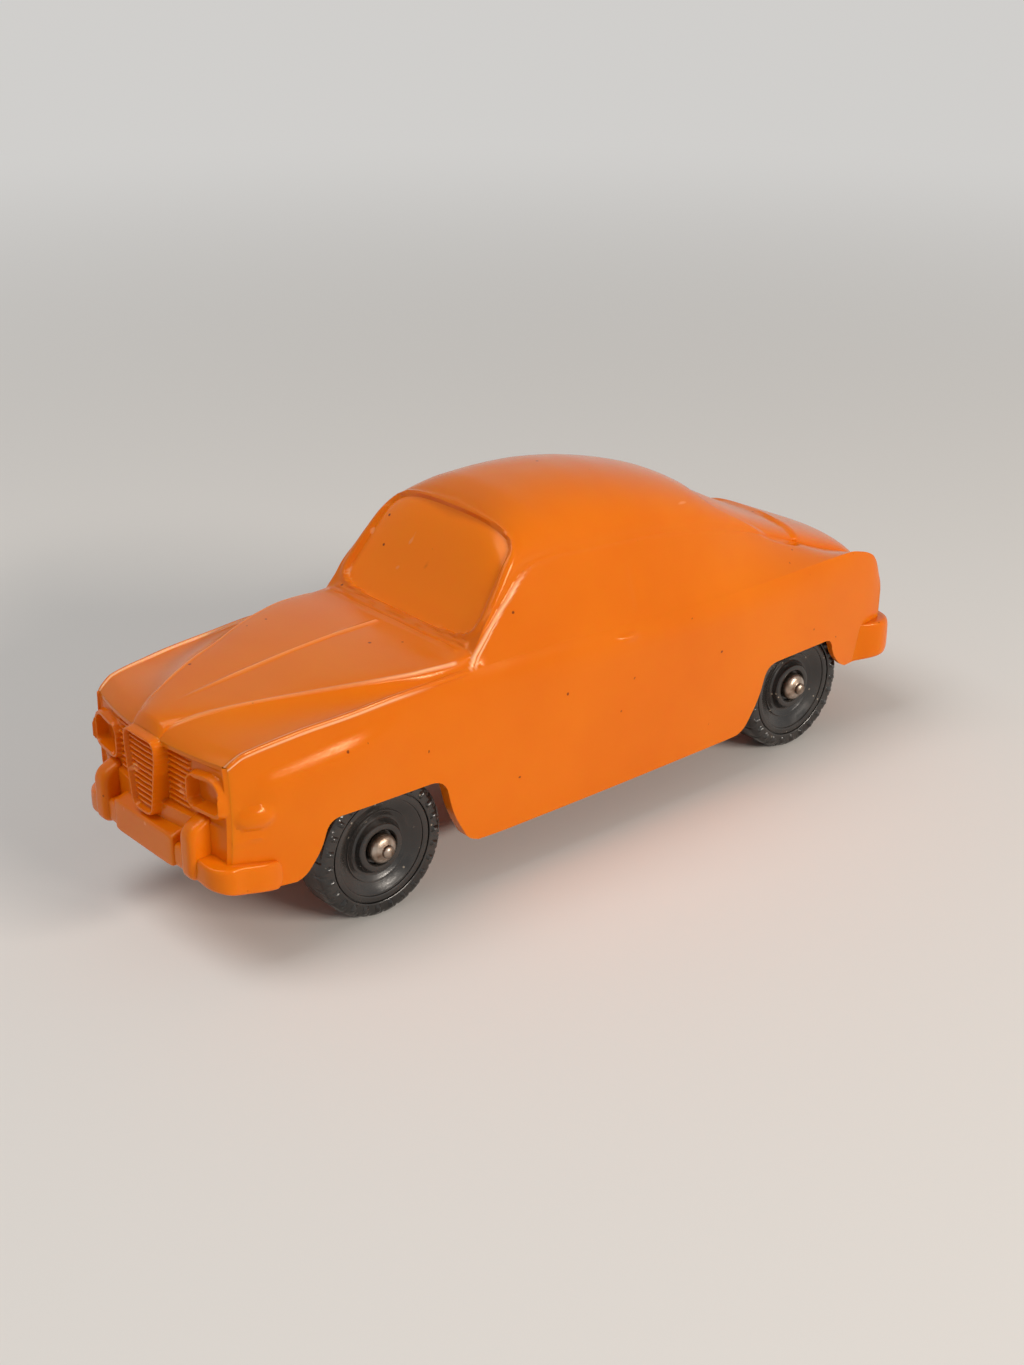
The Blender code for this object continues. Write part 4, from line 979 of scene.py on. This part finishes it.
def specks(place, scale, size, rarity):
    # Small dots round scattered points, kept only where a second noise is high
    cells = addNode(place.id_data, "ShaderNodeTexVoronoi", {"Scale": scale}, {"Vector": (place, "Object")})
    dots = rampNode(cells, [(size[0], 1.0), (size[1], 0.0)], "Distance")
    few = rampNode(noise(place, rarity[0], 0.0), [(rarity[1], 0.0), (rarity[2], 1.0)])
    return product((dots, "Color"), (few, "Color"))


def bumpNode(height, strength, distance, links=None):
    return addNode(height.id_data, "ShaderNodeBump", {"Strength": strength, "Distance": distance},
                   {"Height": (height, "Fac"), **(links or {})})


def finishShader(material, shader, colour, gloss, normal):
    link(*colour, shader, "Base Color")
    link(gloss, "Color", shader, "Roughness")
    link(normal, "Normal", shader, "Normal")
    return material


def softVinyl():
    # Soft orange PVC that light enters a little: oily gloss, faint mottling, dust, hairline
    # scratches, painted highlights along raised lines and a windscreen painted brighter
    material, shader, place = newMaterial("soft moulded vinyl", {
        "IOR": 1.53, "Specular IOR Level": 0.32, "Specular Tint": hexColour("#FFD0A6"),
        "Subsurface Weight": 0.3, "Subsurface Scale": 0.0007, "Subsurface Radius": (1, 0.32, 0.05)})
    mottle = noise(place, 60, 3)
    colour = rampNode(mottle, [(0.3, "#DA6A04"), (0.7, "#E27407")])
    tree = material.node_tree
    # Painted light masks: painted highlights along raised lines (#FBC092), and the windscreen painted
    # brighter
    barThinningAndScreenLight, highlightShare = (addNode(tree, "ShaderNodeAttribute", {"attribute_name": name})
                  for name in ("barThinningAndScreenLight", "paintedHighlight"))
    dust = specks(place, 420, (0.045, 0.085), (900, 0.59, 0.62))
    turned = addNode(tree, "ShaderNodeMapping",
                     {"Rotation": (0.5, 0.25, 0.8), "Scale": (420, 26, 420)},
                     {"Vector": (place, "Object")})
    streaks = noise(turned, 1, 1, "Vector")
    scratches = rampNode(streaks, [(0.745, 0), (0.77, 0.7)])
    # Over the mottled orange: the windscreen painted brighter (#FA8004) as painted light, dust, scratches,
    # then painted highlights
    colour = layered((colour, "Color"), [((barThinningAndScreenLight, "Fac"), "#FA8004"), ((dust, "Value"), "#7A3208"),
                                         ((scratches, "Color"), "#F5A364"), ((highlightShare, "Fac"), "#FBC092")])
    gloss = rampNode(noise(place, 180, 4), [(0.3, 0.15), (0.75, 0.26)])
    fine = bumpNode(noise(place, 2200, 2), 0.25, 0.00003)
    wave = noise(place, 230, 1)
    wide = bumpNode(wave, 0.35, 0.0001, {"Normal": (fine, "Normal")})
    return finishShader(material, shader, colour, gloss, wide)


def blackPlastic():
    # Near black with a satin gloss, dulled by handling and lint
    material, shader, place = newMaterial("moulded black polystyrene", {"IOR": 1.59})
    haze = noise(place, 350, 5)
    colour = rampNode(haze, [(0.35, "#1C1A19"), (0.75, "#312D2A")])
    lint = specks(place, 900, (0.07, 0.12), (500, 0.52, 0.56))
    dusty = layered((colour, "Color"), [((lint, "Value"), "#8A8072")])
    gloss = rampNode(haze, [(0.3, 0.16), (0.7, 0.32)])
    fine = bumpNode(noise(place, 1800, 2), 0.3, 0.00004)
    return finishShader(material, shader, dusty, gloss, fine)


def agedWire():
    # Bright but browned, with rough tool marks
    material, shader, place = newMaterial("drawn steel wire", {"Metallic": 1})
    stain = noise(place, 900, 5)
    colour = rampNode(stain, [(0.35, "#6E5A4B"), (0.55, "#A8988A"), (0.75, "#CFC6BC")])
    gloss = rampNode(stain, [(0.3, 0.5), (0.7, 0.28)])
    rough = bumpNode(noise(place, 1500, 2), 0.5, 0.0001)
    return finishShader(material, shader, (colour, "Color"), gloss, rough)


finishes = {"body": softVinyl(), "wheel": blackPlastic(), "axle": agedWire()}
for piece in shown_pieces():
    finish = finishes[piece.get("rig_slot", "body")]
    piece.data.materials.clear()
    piece.data.materials.append(finish)
print("stage: materials")

# Camera in degrees and millimetres. The room glows more for rays that see it than as a light
studio = {"azimuth": 49.15, "elevation": 24.24, "roll": 0.25, "aside": -2.31, "above": 11.26,
          "distance": 223.55, "lens": 54.065934, "sensor": 36.0,
          "floorReach": 1.5, "roomColour": "#F4F2EF", "glow": 0.3, "seenGlow": 0.7}


def makeCamera():
    # Camera fitted to the photograph
    a, e, r = np.radians([studio["azimuth"], studio["elevation"], studio["roll"]])
    back = np.array([np.sin(a) * np.cos(e), -np.cos(a) * np.cos(e), np.sin(e)])
    level = np.array([np.cos(a), np.sin(a), 0.0])
    upward = np.cross(back, level)
    right = np.cos(r) * level + np.sin(r) * upward
    up = -np.sin(r) * level + np.cos(r) * upward
    spot = right * studio["aside"] + up * studio["above"] + back * studio["distance"]
    spot = spot + np.array([0, midY, 0])
    camera = bpy.data.cameras.new("camera")
    camera.lens = studio["lens"]
    camera.sensor_width = studio["sensor"]
    camera.clip_start = 0.005
    item = newObject("camera", camera)
    rows = [[right[k], up[k], back[k], spot[k] * mm] for k in range(3)]
    item.matrix_world = Matrix(rows + [[0, 0, 0, 1]])
    bpy.context.scene.camera = item


def areaLight(name, spot, size, power, colour):
    # Rectangle of light turned toward the car
    lamp = bpy.data.lights.new(name, "AREA")
    lamp.energy = power
    lamp.shape = "RECTANGLE"
    lamp.size, lamp.size_y = size
    lamp.color = hexColour(colour)[:3]
    item = newObject(name, lamp)
    item.location = spot
    item.rotation_euler = (Vector((0, 0, 0.015)) - Vector(spot)).to_track_quat("-Z", "Y").to_euler()


def seenRays(tree):
    # 1 for rays from the camera, and for those that a shiny or clear surface sends on
    rays = addNode(tree, "ShaderNodeLightPath")
    both = addNode(tree, "ShaderNodeMath", {"operation": "ADD"},
                   {0: (rays, "Is Camera Ray"), 1: (rays, "Is Glossy Ray")})
    return addNode(tree, "ShaderNodeMath", {"operation": "ADD", "use_clamp": True},
                   {0: (both, "Value"), 1: (rays, "Is Transmission Ray")})


def paleCard():
    # Matt card under the car, which farther off looks as pale as the room
    material, shader, place = newMaterial("pale matt card", {
        "Base Color": hexColour("#E3E1DE"), "Roughness": 0.9})
    tree = material.node_tree
    away = addNode(tree, "ShaderNodeVectorMath", {"operation": "LENGTH"}, {0: (place, "Object")})
    far = addNode(tree, "ShaderNodeMapRange",
                  {"interpolation_type": "SMOOTHSTEP", "From Min": 0.09, "From Max": 0.42},
                  {"Value": (away, "Value")})
    share = product((far, "Result"), (seenRays(tree), "Value"))
    pale = addNode(tree, "ShaderNodeEmission",
                   {"Color": hexColour(studio["roomColour"]), "Strength": studio["seenGlow"]})
    both = addNode(tree, "ShaderNodeMixShader", {},
                   {0: (share, "Value"), 1: (shader, "BSDF"), 2: (pale, "Emission")})
    link(both, "Shader", tree.nodes["Material Output"], "Surface")
    return material


def makeStage():
    # Pale floor, a wide lamp at the side, a soft one above, and a dim room that looks pale
    reach = studio["floorReach"]
    corners = [(-reach, -reach, 0), (reach, -reach, 0), (reach, reach, 0), (-reach, reach, 0)]
    mesh = bpy.data.meshes.new("floor")
    mesh.from_pydata(corners, [], [(0, 1, 2, 3)])
    mesh.materials.append(paleCard())
    floor = newObject("floor", mesh)
    areaLight("window", (0.48, 0.10, 0.22), (0.30, 0.035), 2.05, "#FFF4E8")
    areaLight("sky", (-0.08, -0.22, 0.48), (0.30, 0.30), 1.03, "#FFFFFF")
    world = bpy.data.worlds.new("studio")
    world.use_nodes = True
    tree = world.node_tree
    background = tree.nodes["Background"]
    background.inputs["Color"].default_value = hexColour(studio["roomColour"])
    glow = addNode(tree, "ShaderNodeMath",
                   {"operation": "MULTIPLY_ADD", 1: studio["seenGlow"] - studio["glow"], 2: studio["glow"]},
                   {0: (seenRays(tree), "Value")})
    link(glow, "Value", background, "Strength")
    bpy.context.scene.world = world


makeCamera()
makeStage()
bpy.context.scene.view_settings.view_transform = "Standard"
print("stage: studio")
